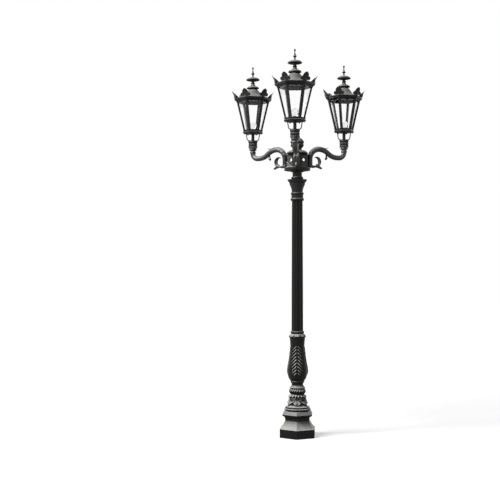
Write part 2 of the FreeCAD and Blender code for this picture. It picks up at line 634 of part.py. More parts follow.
def make_rope_ring():
    """Bowl-shaped ring with slanting strands below a cyma, a neck and a bead."""
    sections = []
    rise = ROPE_RADIUS - ROPE_FOOT_RADIUS
    for share, radius in ((0.0, ROPE_FOOT_RADIUS), (0.35, ROPE_FOOT_RADIUS + 0.65 * rise),
                          (0.7, ROPE_RADIUS), (0.88, ROPE_RADIUS - 0.5), (1.0, ROPE_TOP_RADIUS)):
        sections.append(lobed(ROPE_STRANDS, radius - ROPE_GROOVE, radius, ROPE_FOOT + share * ROPE_HEIGHT,
                              share * ROPE_SLANT))
    rope = Part.makeLoft(sections, True, False)
    cyma = ROPE_FOOT + ROPE_HEIGHT
    neck = cyma + CYMA_HEIGHT
    bead = neck + RING_NECK_HEIGHT
    middle = (CYMA_FOOT_RADIUS + CYMA_TOP_RADIUS) / 2
    mouldings = turned([(0.0, cyma - 1.0), (ROPE_TOP_RADIUS - 2 * ROPE_GROOVE, cyma - 1.0),
                        (ROPE_TOP_RADIUS - 2 * ROPE_GROOVE, cyma), (CYMA_FOOT_RADIUS, cyma),
                        (CYMA_FOOT_RADIUS, cyma + 5.0),
                        [(CYMA_FOOT_RADIUS, cyma + 5.0), (middle, cyma + 0.55 * CYMA_HEIGHT),
                         (CYMA_TOP_RADIUS, neck)],
                        [(RING_NECK_RADIUS, neck), (RING_NECK_RADIUS, bead - 6.0), (BEAD_RADIUS - 4.0, bead)],
                        [(BEAD_RADIUS - 4.0, bead), (BEAD_RADIUS, bead + 0.5 * BEAD_HEIGHT),
                         (BEAD_RADIUS - 4.0, ROPE_TOP)],
                        (0.0, ROPE_TOP)])
    return drilled(fused([rope, mouldings]), CORE_RADIUS + SEAT_GAP, ROPE_FOOT - 1.0, ROPE_TOP + 1.0)


def vase_curve(offset):
    """The vase's side from foot to lip, moved outwards by an offset."""
    return [(VASE_FOOT_RADIUS + offset, VASE_FOOT),
            (VASE_LOW_RADIUS + offset, VASE_FOOT + VASE_LOW_LEVEL),
            (VASE_BELLY_RADIUS + offset, VASE_FOOT + VASE_BELLY_LEVEL),
            (VASE_SHOULDER_RADIUS + offset, VASE_FOOT + VASE_SHOULDER_LEVEL),
            (VASE_WAIST_RADIUS + offset, VASE_FOOT + VASE_WAIST_LEVEL),
            (VASE_LIP_RADIUS + offset, VASE_LIP)]


def leaflet_drop(reach):
    """How far a leaflet's edge has fallen at a reach from the stem."""
    return LEAFLET_DROOP * reach + LEAFLET_BEND * reach * reach


def frond_outlines():
    """Outlines of one upright frond: its stem, then a drooping leaflet each side at every step."""
    foot = VASE_FOOT + FROND_FOOT
    tip = foot + FROND_LENGTH
    half = FROND_STEM_HALF_WIDTH
    outlines = [across([(-half, foot - 12.0), (half, foot - 12.0),
                        (0.4 * half, tip - 30.0), (-0.4 * half, tip - 30.0)])]
    pitch = FROND_LENGTH / FROND_LEAFLETS
    for step in range(FROND_LEAFLETS):
        z = foot + (step + 1) * pitch
        width = FROND_HALF_WIDTH * math.sin(math.pi * (0.12 + 0.76 * step / (FROND_LEAFLETS - 1)))
        upper = [(reach, z - leaflet_drop(reach)) for reach in (1.0, 0.35 * width, 0.7 * width, width)]
        lower = [(reach, z - leaflet_drop(reach) - thick * pitch)
                 for reach, thick in ((0.75 * width, 0.42), (0.4 * width, 0.55), (1.0, 0.58))]
        for side in (-1, 1):
            outlines.append(across([[(side * x, level) for x, level in upper],
                                    [(side * x, level) for x, level in upper[-1:] + lower]]))
    return outlines


def make_vase():
    """Hollow baluster vase with three raised fronds, a scalloped lip and the shaft's collar."""
    wall = turned([(CORE_RADIUS + SEAT_GAP, VASE_FOOT), vase_curve(0.0), (CORE_RADIUS + SEAT_GAP, VASE_LIP)])
    room = vase_curve(-VASE_WALL - 2.0)[1:]
    room[0] = (room[0][0], VASE_FOOT + VASE_LOW_LEVEL)
    room[-1] = (room[-1][0], VASE_LIP - VASE_WALL)
    wall = wall.cut(turned([(0.0, VASE_FOOT + VASE_LOW_LEVEL), room, (0.0, VASE_LIP - VASE_WALL)]))
    skin = turned([vase_curve(FROND_RELIEF), vase_curve(-1.0)[::-1]])
    pieces = [wall]
    for number in range(FROND_COUNT):
        for leaflet in frond_outlines():
            pieces.append(raised(skin, leaflet, -90.0 + number * 360.0 / FROND_COUNT))
    scallop = lobed_prism(SCALLOP_COUNT, SCALLOP_RADIUS - SCALLOP_DEPTH, SCALLOP_RADIUS, VASE_LIP,
                          SCALLOP_HEIGHT)
    neck = VASE_LIP + SCALLOP_HEIGHT
    collar = turned([(0.0, neck), (COLLAR_NECK_RADIUS, neck), (COLLAR_NECK_RADIUS, neck + COLLAR_NECK_HEIGHT),
                     [(COLLAR_RADIUS - 3.0, VASE_TOP - COLLAR_HEIGHT),
                      (COLLAR_RADIUS, VASE_TOP - 0.5 * COLLAR_HEIGHT), (COLLAR_RADIUS - 3.0, VASE_TOP)],
                     (0.0, VASE_TOP)])
    body = fused(pieces + [scallop, collar])
    body = drilled(body, CORE_RADIUS + SEAT_GAP, VASE_FOOT - 1.0, VASE_TOP + 1.0)
    return drilled(body, SHAFT_FOOT_RADIUS + SEAT_GAP, VASE_TOP - COLLAR_SOCKET_DEPTH, VASE_TOP + 1.0)


# ---- Shaft and capital -------------------------------------------------------------------------
def make_shaft():
    """Tapered tube with sharp-edged flutes from foot to top."""
    foot = lobed(FLUTE_COUNT, SHAFT_FOOT_RADIUS, SHAFT_FOOT_RADIUS - FLUTE_DEPTH, SHAFT_FOOT)
    top = lobed(FLUTE_COUNT, SHAFT_TOP_RADIUS, SHAFT_TOP_RADIUS - FLUTE_DEPTH, SHAFT_TOP)
    body = Part.makeLoft([foot, top], True, True)
    inset = FLUTE_DEPTH + SHAFT_WALL
    bore = Part.makeCone(SHAFT_FOOT_RADIUS - inset, SHAFT_TOP_RADIUS - inset, SHAFT_HEIGHT,
                         Vector(0, 0, SHAFT_FOOT))
    return body.cut(bore)


def make_capital():
    """Turned capital: astragal, band, ring, flaring bell under a round abacus, and the hub's neck."""
    band = CAPITAL_FOOT + ASTRAGAL_HEIGHT
    ring = band + CAPITAL_BAND_HEIGHT
    throat = ring + CAPITAL_RING_HEIGHT
    bell = throat + CAPITAL_THROAT_HEIGHT
    ledge = bell + CAPITAL_BELL_HEIGHT
    abacus = ABACUS_FOOT + ABACUS_RISE
    necking = abacus + ABACUS_HEIGHT
    neck = necking + NECKING_HEIGHT
    bore = CORE_RADIUS + SEAT_GAP
    return turned([(bore, CAPITAL_FOOT), (SHAFT_TOP_RADIUS + 4.0, CAPITAL_FOOT),
                   [(ASTRAGAL_RADIUS - 5.0, CAPITAL_FOOT),
                    (ASTRAGAL_RADIUS, CAPITAL_FOOT + 0.5 * ASTRAGAL_HEIGHT), (ASTRAGAL_RADIUS - 5.0, band)],
                   (CAPITAL_BAND_RADIUS, band), (CAPITAL_BAND_RADIUS, ring),
                   [(CAPITAL_RING_RADIUS - 3.0, ring),
                    (CAPITAL_RING_RADIUS, ring + 0.5 * CAPITAL_RING_HEIGHT),
                    (CAPITAL_RING_RADIUS - 3.0, throat)],
                   [(CAPITAL_THROAT_RADIUS, throat), (CAPITAL_THROAT_RADIUS, bell - 6.0),
                    (CAPITAL_THROAT_RADIUS + 5.0, bell + 0.3 * CAPITAL_BELL_HEIGHT),
                    (CAPITAL_BELL_RADIUS, ledge)],
                   (CAPITAL_BELL_RADIUS, ABACUS_FOOT),
                   [(CAPITAL_BELL_RADIUS - 2.0, ABACUS_FOOT),
                    (CAPITAL_BELL_RADIUS + 6.0, ABACUS_FOOT + 0.4 * ABACUS_RISE), (ABACUS_RADIUS, abacus)],
                   (ABACUS_RADIUS, necking), (NECKING_RADIUS - 6.0, necking),
                   [(NECKING_RADIUS - 4.0, necking + 5.0), (NECKING_RADIUS, necking + 0.6 * NECKING_HEIGHT),
                    (NECKING_RADIUS - 4.0, neck)],
                   (HUB_NECK_RADIUS, neck), (HUB_NECK_RADIUS, CAPITAL_TOP), (bore, CAPITAL_TOP)])


# ---- Hub ---------------------------------------------------------------------------------------
def arm_screw_spots():
    """Place of each arm screw, on the dish's underside."""
    return [(azimuth, reach) for azimuth in ARM_AZIMUTHS.values() for reach in ARM_SCREW_REACHES]


def make_hub_dish():
    """Shallow turned dish that the arms stand on, with a sunk hole for each arm screw."""
    bore = CORE_RADIUS + SEAT_GAP
    rim = DISH_TOP - DISH_RIM
    dish = turned([(bore, DISH_FOOT), (DISH_FOOT_RADIUS - 8.0, DISH_FOOT),
                   [(DISH_FOOT_RADIUS - 8.0, DISH_FOOT),
                    (DISH_FOOT_RADIUS + 8.0, DISH_FOOT + 0.4 * (rim - DISH_FOOT)),
                    (DISH_RADIUS - DISH_EDGE, rim)],
                   (DISH_RADIUS, rim + DISH_EDGE), (DISH_RADIUS, DISH_TOP - DISH_EDGE),
                   (DISH_RADIUS - DISH_EDGE, DISH_TOP), (bore, DISH_TOP)])
    for azimuth, reach in arm_screw_spots():
        spot = polar(reach, azimuth, DISH_FOOT)
        sunk = Part.makeCylinder(ARM_SCREW_HEAD_RADIUS + 1.0, DISH_HEIGHT - ARM_SCREW_SEAT, spot)
        dish = dish.cut(sunk).cut(Part.makeCylinder(ARM_SCREW_RADIUS + SEAT_GAP, DISH_HEIGHT, spot))
    return dish


def make_hub_drum():
    """Round hub core under a domed cap, with a way through for the leads of each arm."""
    bore = CORE_RADIUS + SEAT_GAP
    stud = STUD_RADIUS + SEAT_GAP
    edge = CAP_FOOT + CAP_EDGE
    drum = turned([(bore, DRUM_FOOT), (DRUM_RADIUS, DRUM_FOOT), (DRUM_RADIUS, CAP_FOOT),
                   (CAP_RADIUS, CAP_FOOT), (CAP_RADIUS, edge),
                   [(CAP_RADIUS, edge), (0.5 * (CAP_RADIUS + CAP_TOP_RADIUS) + 8.0, edge + 0.55 * CAP_RISE),
                    (CAP_TOP_RADIUS, CAP_TOP - 6.0)],
                   (CAP_TOP_RADIUS, CAP_TOP), (stud, CAP_TOP), (stud, CAP_FOOT + SEAT_GAP),
                   (bore, CAP_FOOT + SEAT_GAP)])
    for azimuth in ARM_AZIMUTHS.values():
        drum = drum.cut(lead_hole(azimuth, DRUM_RADIUS + 5.0))
    return drum


def make_hub_nut():
    """Hexagonal nut on the core's stud: it clamps the whole stack."""
    corner = NUT_FLATS / 2 / COS30
    foot = CAP_TOP + SEAT_GAP
    nut = hex_stack([(foot, corner), (foot + NUT_HEIGHT - SEAT_GAP, corner)])
    return drilled(nut, STUD_RADIUS + RUNNING_FIT, foot - 1.0, foot + NUT_HEIGHT + 1.0)


def make_hub_finial():
    """Turned, hollow-footed finial over the nut."""
    foot = CAP_TOP + SEAT_GAP
    bulge = foot + FINIAL_BULGE_LEVEL
    neck = foot + FINIAL_NECK_LEVEL
    rim = foot + FINIAL_RIM_LEVEL
    top = foot + FINIAL_HEIGHT
    body = turned([(0.0, foot), (FINIAL_FOOT_RADIUS, foot),
                   [(FINIAL_FOOT_RADIUS, foot + 8.0),
                    (FINIAL_BULGE_RADIUS - 8.0, foot + 0.6 * FINIAL_BULGE_LEVEL),
                    (FINIAL_BULGE_RADIUS, bulge), (FINIAL_NECK_RADIUS, neck)],
                   [(FINIAL_NECK_RADIUS, neck), (FINIAL_RIM_RADIUS, rim)],
                   [(FINIAL_RIM_RADIUS, rim), (0.62 * FINIAL_RIM_RADIUS, rim + 0.72 * (top - rim)),
                    (6.0, top)],
                   (0.0, top)])
    nut_room = CAP_TOP + NUT_HEIGHT + 2.0
    body = drilled(body, FINIAL_FOOT_RADIUS - FINIAL_WALL, foot - 1.0, nut_room)
    return drilled(body, STUD_RADIUS + RUNNING_FIT, nut_room - 1.0,
                   CAP_TOP + NUT_HEIGHT + NUT_THREAD_GRIP + 2.0)


def make_arm_screws():
    """Screws from under the dish into the arms' webs, as separate solids."""
    screws = []
    for azimuth, reach in arm_screw_spots():
        seat = DISH_TOP - ARM_SCREW_SEAT
        head = Part.makeCylinder(ARM_SCREW_HEAD_RADIUS, ARM_SCREW_HEAD_HEIGHT,
                                 polar(reach, azimuth, seat - SEAT_GAP - ARM_SCREW_HEAD_HEIGHT))
        shank = Part.makeCylinder(ARM_SCREW_RADIUS, ARM_SCREW_SEAT + SEAT_GAP + ARM_SCREW_GRIP - 2.0,
                                  polar(reach, azimuth, seat - SEAT_GAP))
        screws.append(head.fuse(shank).removeSplitter())
    return Part.makeCompound(screws)


# ---- Arms --------------------------------------------------------------------------------------
def arm_path(end_level):
    """Centre line of an arm's tube, from the stem's top to a level at its root."""
    bend_x = ARM_REACH - STEM_BEND_RADIUS
    valley_x = bend_x - VALLEY_RUN
    run = valley_x - HUMP_REACH
    swing = 2 * math.degrees(math.atan2(HUMP_RISE, run))
    radius = run / (2 * math.sin(math.radians(swing)))
    drop = HUMP_REACH - ROOT_REACH
    return [arc_in_xz(bend_x, STEM_TOP, STEM_BEND_RADIUS, 0, -90),
            line_in_xz((bend_x, BEND_LEVEL), (valley_x, BEND_LEVEL)),
            arc_in_xz(valley_x, BEND_LEVEL + radius, radius, -90, -90 - swing),
            arc_in_xz(HUMP_REACH, HUMP_LEVEL - radius, radius, 90 - swing, 90),
            arc_in_xz(HUMP_REACH, HUMP_LEVEL - drop, drop, 90, 180),
            line_in_xz((ROOT_REACH, HUMP_LEVEL - drop), (ROOT_REACH, end_level))]


def make_web():
    """Upright plate from the hub's core to the arm's root, pierced by one round hole."""
    inner = DRUM_RADIUS + SEAT_GAP
    outer = ROOT_REACH
    chord = math.sqrt(inner * inner - (WEB_THICKNESS / 2) ** 2)
    plate = flat_piece([(chord - 2.0, WEB_FOOT), (DISH_RADIUS - 6.0, WEB_FOOT), (outer, WEB_FOOT + ROOT_LIFT),
                        (outer, WEB_TOP - 6.0), (CAP_RADIUS - 4.0, WEB_TOP), (chord - 2.0, WEB_TOP)],
                       WEB_THICKNESS)
    plate = drilled(plate, inner, WEB_FOOT - 1.0, WEB_TOP + 1.0)
    spot = WEB_FOOT + WEB_HOLE_LEVEL
    boss_width = WEB_THICKNESS + 2 * WEB_RELIEF
    boss = Part.makeCylinder(WEB_BOSS_RADIUS, boss_width, Vector(WEB_HOLE_REACH, -boss_width / 2, spot),
                             Vector(0, 1, 0))
    hole = Part.makeCylinder(WEB_HOLE_RADIUS, boss_width + 2.0,
                             Vector(WEB_HOLE_REACH, -boss_width / 2 - 1.0, spot), Vector(0, 1, 0))
    ribs = [flat_piece([(x, WEB_FOOT + 2.0), (x + WEB_RIB_WIDTH, WEB_FOOT + 2.0),
                        (x + WEB_RIB_WIDTH + WEB_RIB_RUN, WEB_FOOT + WEB_RIB_RISE),
                        (x + WEB_RIB_RUN, WEB_FOOT + WEB_RIB_RISE)], boss_width) for x in WEB_RIB_FEET]
    return plate.fuse([boss] + ribs).cut(hole)


def make_scroll():
    """C-scroll under the arm: a crescent with a grooved back, its foot and a pointed sprig."""
    x = SCROLL_REACH
    z = WEB_FOOT + SCROLL_LEVEL
    outer = SCROLL_RADIUS
    half = SCROLL_WIDTH / 2
    shift_x, shift_z = SCROLL_ROOM_SHIFT
    disc = Part.makeCylinder(outer, SCROLL_WIDTH, Vector(x, -half, z), Vector(0, 1, 0))
    foot = flat_piece([(ROOT_REACH, z - outer), (x, z - outer), (x, z - 0.4 * outer),
                       (ROOT_REACH, z - 0.45 * outer)], SCROLL_WIDTH)
    room = Part.makeCylinder(SCROLL_ROOM_RADIUS, SCROLL_WIDTH + 2.0,
                             Vector(x + shift_x, -half - 1.0, z + shift_z), Vector(0, 1, 0))
    groove = Part.makeTorus(outer + 0.6 * SCROLL_GROOVE, 1.6 * SCROLL_GROOVE, Vector(x, 0, z),
                            Vector(0, 1, 0))
    sprig = flat_piece([(x + 0.05 * outer, z - outer + 1.0), (x + outer + SPRIG_LENGTH, z - outer - 3.0),
                        (x + 0.6 * outer, z - 0.6 * outer)], SPRIG_THICKNESS)
    return fused([disc, foot]).cut(room).cut(groove).fuse(sprig)


def make_arm_leaf():
    """Leaf laid over the arm's hump, with its tip curling up off the tube."""
    top = HUMP_LEVEL + ARM_TUBE_RADIUS
    root_x = ROOT_REACH + 2.0
    tip_x = HUMP_REACH + 2.0 * STEM_BEND_RADIUS
    under = [(root_x - 0.6 * ARM_TUBE_RADIUS, HUMP_LEVEL - 0.45 * (HUMP_REACH - ROOT_REACH)),
             (0.5 * (root_x + HUMP_REACH) - 12.0, top - 16.0), (HUMP_REACH, top - 3.0),
             (HUMP_REACH + 0.55 * STEM_BEND_RADIUS, top - 9.0),
             (tip_x - 0.55 * STEM_BEND_RADIUS, top - LEAF_TIP_DIP), (tip_x, top - 6.0)]
    over = [(x, z + LEAF_THICKNESS + 2.0) for x, z in under[:-1]] + [(tip_x - 2.0, top - 2.0)]
    ribbon = flat_piece([under, over[::-1]], 2 * LEAF_HALF_WIDTH)
    length = tip_x - root_x + ARM_TUBE_RADIUS
    start = root_x - ARM_TUBE_RADIUS
    shares = [(0.0, 0.55), (0.12, 0.95), (0.2, 0.8), (0.34, 1.0), (0.42, 0.84), (0.56, 0.9), (0.64, 0.7),
              (0.8, 0.62), (1.02, 0.0)]
    upper = [Vector(start + along * length, wide * LEAF_HALF_WIDTH, top - 120.0) for along, wide in shares]
    lower = [Vector(point.x, -point.y, point.z) for point in reversed(upper[:-1])]
    plan = Part.Face(Part.makePolygon(upper + lower + upper[:1])).extrude(Vector(0, 0, 200.0))
    return ribbon.common(plan)


def make_arm(azimuth):
    """Cast arm: web, root, humped tube with leaf and scroll, berry, stem rings and threaded spigot."""
    tube = swept(arm_path(WEB_FOOT + ROOT_LIFT), ARM_TUBE_RADIUS)
    stem = []
    level = STEM_TOP
    for radius, height in STEM_RINGS:
        stem.append(Part.makeCylinder(radius, height, Vector(ARM_REACH, 0, level)))
        level += height
    stem.append(Part.makeCylinder(SPIGOT_RADIUS, SPIGOT_LENGTH, Vector(ARM_REACH, 0, level)))
    berry_spot = Vector(BERRY_REACH, 0, BEND_LEVEL - BERRY_DROP)
    berry = Part.makeSphere(BERRY_RADIUS, berry_spot)
    stalk = Part.makeCylinder(0.45 * BERRY_RADIUS, BERRY_STALK, berry_spot)
    arm = tube.fuse([make_web(), make_scroll(), make_arm_leaf(), berry, stalk] + stem)
    leads = swept(arm_path(WEB_FOOT + ROOT_LIFT + 2 * ARM_BORE_RADIUS), ARM_BORE_RADIUS)
    top_bore = Part.makeCylinder(ARM_BORE_RADIUS, RINGS_TOP + SPIGOT_LENGTH - STEM_TOP + 1.0,
                                 Vector(ARM_REACH, 0, STEM_TOP))
    arm = arm.cut(leads).cut(top_bore).cut(lead_hole(0.0, ROOT_REACH + 0.5 * ARM_BORE_RADIUS))
    for reach in ARM_SCREW_REACHES:
        arm = arm.cut(Part.makeCylinder(ARM_SCREW_RADIUS + SEAT_GAP, ARM_SCREW_GRIP,
                                        Vector(reach, 0, WEB_FOOT - 1.0)))
    return turned_about(arm, azimuth)


# ---- Lantern, built about its own axis with +X away from the post ------------------------------
def make_fitter():
    """Reeded socket over the stem's spigot, with the lead tube and its flared head above."""
    plain = FITTER_RADIUS - FITTER_RIB_DEPTH - 1.0
    reeds = lobed_prism(FITTER_RIBS, FITTER_RADIUS - FITTER_RIB_DEPTH, FITTER_RADIUS,
                        FITTER_FOOT + FITTER_LEDGE, FITTER_HEIGHT - 2 * FITTER_LEDGE)
    flare = TUBE_TOP - TUBE_FLARE_HEIGHT
    ledge = FITTER_LEDGE_RADIUS
    core = turned([(0.0, FITTER_FOOT), (ledge, FITTER_FOOT), (ledge, FITTER_FOOT + FITTER_LEDGE - 3.0),
                   (plain, FITTER_FOOT + FITTER_LEDGE), (plain, FITTER_TOP - FITTER_LEDGE),
                   (ledge, FITTER_TOP - FITTER_LEDGE + 3.0), (ledge, FITTER_TOP),
                   (TUBE_RADIUS, FITTER_TOP), (TUBE_RADIUS, flare),
                   [(TUBE_RADIUS, flare), (TUBE_RADIUS + 4.0, flare + 0.6 * TUBE_FLARE_HEIGHT),
                    (TUBE_FLARE_RADIUS, TUBE_TOP)], (0.0, TUBE_TOP)])
    body = fused([core, reeds])
    body = drilled(body, SPIGOT_RADIUS + RUNNING_FIT, FITTER_FOOT - 1.0, FITTER_FOOT + SPIGOT_LENGTH + 2.0)
    return drilled(body, LEAD_HOLE_RADIUS, FITTER_FOOT, TUBE_TOP + 1.0)


def make_cradle():
    """Plate on the fitter with two bowed rods up to the lantern's floor."""
    foot = FITTER_TOP + SEAT_GAP
    plate = Part.makeCylinder(FITTER_LEDGE_RADIUS - 1.0, CRADLE_PLATE, Vector(0, 0, foot))
    parts = [drilled(plate, TUBE_RADIUS + SEAT_GAP, foot - 1.0, foot + CRADLE_PLATE + 1.0)]
    knee_z = foot + CRADLE_PLATE + CRADLE_KNEE_RISE
    top_z = FLOOR_FOOT - SEAT_GAP
    lean = math.degrees(math.atan2(CRADLE_TOP_REACH - CRADLE_KNEE_REACH, top_z - knee_z))
    radius = (CRADLE_KNEE_REACH - CRADLE_FOOT_REACH) / math.cos(math.radians(lean))
    centre_x = CRADLE_KNEE_REACH - radius * math.cos(math.radians(lean))
    centre_z = knee_z + radius * math.sin(math.radians(lean))
    bow = arc_in_xz(centre_x, centre_z, radius, -80.0, -lean)
    start = bow.valueAt(bow.FirstParameter)
    run_up = line_in_xz((CRADLE_KNEE_REACH, knee_z), (CRADLE_TOP_REACH, top_z))
    rod = swept([bow, run_up], CRADLE_ROD_RADIUS)
    heel = Part.makeSphere(CRADLE_ROD_RADIUS + 1.0, start)
    top_trim = Part.makeBox(400.0, 400.0, 40.0, Vector(-200.0, -200.0, top_z))
    rod = fused([rod, heel]).cut(top_trim)
    for angle in (90.0, -90.0):
        parts.append(turned_about(rod, angle))
    cradle = fused(parts)
    return drilled(cradle, TUBE_RADIUS + SEAT_GAP, foot - 1.0, top_z)


def make_floor():
    """Six-sided floor casting with a bead round it, a well for the lampholder and corner bosses."""
    mid = FLOOR_FOOT + FLOOR_HEIGHT / 2
    body = hex_stack([(FLOOR_FOOT, FLOOR_RADIUS - FLOOR_BEAD), (FLOOR_FOOT + 5.0, FLOOR_RADIUS),
                      (mid - 3.0, FLOOR_RADIUS), (mid, FLOOR_RADIUS - FLOOR_BEAD),
                      (FLOOR_TOP - 8.0, FLOOR_RADIUS - FLOOR_BEAD), (FLOOR_TOP - 4.0, FLOOR_RADIUS),
                      (FLOOR_TOP, FLOOR_RADIUS)])
    well = hex_stack([(FLOOR_FOOT + FLOOR_THICKNESS, FLOOR_WELL_RADIUS),
                      (FLOOR_TOP + 1.0, FLOOR_WELL_RADIUS)])
    bosses = [Part.makeCylinder(FLOOR_BOSS_RADIUS, FLOOR_BOSS_DROP + 2.0,
                                polar(FLOOR_RADIUS - FLOOR_BEAD - FLOOR_BOSS_RADIUS - 3.0, corner,
                                      FLOOR_FOOT - FLOOR_BOSS_DROP)) for corner in HEX_CORNERS]
    body = fused([body.cut(well)] + bosses)
    return drilled(body, LEAD_HOLE_RADIUS, FLOOR_FOOT - 1.0, FLOOR_FOOT + FLOOR_THICKNESS + 1.0)


def make_bars():
    """Six sloping corner bars, rebated inside for the glass, as separate solids."""
    half = BAR_WIDTH / 2

    def section(radius, z):
        face = radius + BAR_FACE_DEPTH
        back = radius - half * TAN30
        corners = [(face, -half), (face, half), (back, half), (radius, 0), (back, -half), (face, -half)]
        return Part.makePolygon([Vector(x, y, z) for x, y in corners])

    bar = Part.makeLoft([section(BAR_FOOT_RADIUS, CAGE_FOOT), section(BAR_TOP_RADIUS, CAGE_TOP)], True, True)
    return Part.makeCompound([turned_about(bar, corner) for corner in HEX_CORNERS])


def make_panes():
    """Six clear panes behind the bars, as separate solids."""
    def section(radius, z):
        outer = radius * COS30 - SEAT_GAP
        inner = outer - PANE_THICKNESS
        half = radius / 2 - PANE_SIDE_CLEARANCE
        corners = [(outer, -half), (outer, half), (inner, half), (inner, -half), (outer, -half)]
        return Part.makePolygon([Vector(x, y, z) for x, y in corners])

    pane = Part.makeLoft([section(BAR_FOOT_RADIUS, CAGE_FOOT), section(BAR_TOP_RADIUS, CAGE_TOP)], True, True)
    return Part.makeCompound([turned_about(pane, side) for side in HEX_SIDES])


def knuckle(middle, length):
    """Piece of hinge barrel along Y about the hinge line, with its bore."""
    start = Vector(-HINGE_REACH, middle - length / 2, HINGE_LEVEL)
    return Part.makeCylinder(HINGE_KNUCKLE_RADIUS, length, start, Vector(0, 1, 0))


def pin_bore():
    """Cutter for the hinge pin through every knuckle."""
    length = HINGE_MIDDLE_LENGTH + 2 * HINGE_EAR_LENGTH + 10.0
    return Part.makeCylinder(HINGE_PIN_RADIUS + RUNNING_FIT, length,
                             Vector(-HINGE_REACH, -length / 2, HINGE_LEVEL), Vector(0, 1, 0))


def make_crown():
    """Top ring of the cage, open in the middle, with two hinge ears on the post's side."""
    body = hex_stack([(CROWN_FOOT, CROWN_RADIUS - 5.0), (CROWN_FOOT + 6.0, CROWN_RADIUS),
                      (CROWN_TOP, CROWN_RADIUS)])
    body = body.cut(hex_stack([(CROWN_FOOT - 1.0, CROWN_WELL_RADIUS), (CROWN_TOP + 1.0, CROWN_WELL_RADIUS)]))
    parts = [body]
    offset = (HINGE_MIDDLE_LENGTH + HINGE_EAR_LENGTH) / 2 + SEAT_GAP
    lug = HINGE_REACH - CROWN_RADIUS * COS30 + 3.0
    for side in (-1, 1):
        start = side * offset - HINGE_EAR_LENGTH / 2
        parts.append(knuckle(side * offset, HINGE_EAR_LENGTH))
        parts.append(Part.makeBox(lug, HINGE_EAR_LENGTH, 10.0,
                                  Vector(-HINGE_REACH, start, HINGE_LEVEL - 10.0)))
    crown = fused(parts).cut(pin_bore())
    depth = LATCH_GRIP + 2.0
    return crown.cut(Part.makeCylinder(SCREW_RADIUS + SCREW_HOLE_CLEARANCE, depth + 1.0,
                                       Vector(latch_reach(), 0, CROWN_TOP - depth)))


def latch_reach():
    """Distance of the roof's holding screw from the lantern's axis."""
    return (CROWN_RADIUS + CROWN_WELL_RADIUS) / 2 * COS30


def make_hinge_pin():
    """Plain pin through the ears and the roof's knuckle."""
    length = HINGE_MIDDLE_LENGTH + 2 * (HINGE_EAR_LENGTH + SEAT_GAP + HINGE_PIN_OVERHANG)
    return Part.makeCylinder(HINGE_PIN_RADIUS, length, Vector(-HINGE_REACH, -length / 2, HINGE_LEVEL),
                             Vector(0, 1, 0))


def make_lampholder():
    """Round ceramic lampholder on the floor."""
    foot = FLOOR_FOOT + FLOOR_THICKNESS + SEAT_GAP
    base = HOLDER_RADIUS + 6.0
    lead = LEAD_HOLE_RADIUS - 2.0
    socket = BULB_CAP_RADIUS + BULB_CAP_FIT
    top = foot + HOLDER_HEIGHT
    return turned([(lead, foot), (base, foot), (base, foot + 5.0), (HOLDER_RADIUS, foot + 8.0),
                   (HOLDER_RADIUS, top), (socket, top), (socket, foot + HOLDER_FLOOR),
                   (lead, foot + HOLDER_FLOOR)])


def make_bulb():
    """Opal globe bulb: screw cap, short neck and round envelope."""
    foot = FLOOR_FOOT + FLOOR_THICKNESS + HOLDER_FLOOR + 2 * SEAT_GAP
    neck = foot + HOLDER_HEIGHT - HOLDER_FLOOR
    top = foot + BULB_LENGTH
    centre = top - BULB_RADIUS
    join = math.sqrt(BULB_RADIUS ** 2 - BULB_NECK_RADIUS ** 2)
    cap = turned([(0.0, foot), (5.0, foot), (BULB_CAP_RADIUS, foot + 5.0),
                  (BULB_CAP_RADIUS, neck), (0.0, neck)])
    stem = Part.makeCylinder(BULB_NECK_RADIUS, centre - join - neck + 4.0, Vector(0, 0, neck + SEAT_GAP))
    globe = Part.makeSphere(BULB_RADIUS, Vector(0, 0, centre))
    shoulder = Part.makeCylinder(BULB_CAP_RADIUS, 3.0, Vector(0, 0, neck - 1.0))
    return cap.fuse([shoulder, stem, globe]).removeSplitter()


# ---- Roof --------------------------------------------------------------------------------------
def dome_curve(offset):
    """The dome's falling slope, from rim to top, moved inwards by an offset."""
    middle = (DOME_RADIUS + DOME_TOP_RADIUS) / 2 - DOME_SAG
    return [(DOME_RADIUS - offset, RIM_TOP), (middle - offset, RIM_TOP + DOME_HEIGHT / 2),
            (DOME_TOP_RADIUS - offset, DOME_TOP)]


def make_upstand():
    """Lug on the rim behind a palmette, with the hole of its screw."""
    back = palmette_reach() - SEAT_GAP - UPSTAND_DEPTH
    lug = Part.makeBox(UPSTAND_DEPTH, UPSTAND_WIDTH, UPSTAND_HEIGHT + 1.0,
                       Vector(back, -UPSTAND_WIDTH / 2, RIM_TOP - 1.0))
    level = RIM_TOP + SEAT_GAP + PALMETTE_SCREW_LEVEL
    return lug.cut(Part.makeCylinder(SCREW_RADIUS + SCREW_HOLE_CLEARANCE, SCREW_LENGTH,
                                     Vector(palmette_reach(), 0, level), Vector(-1, 0, 0)))


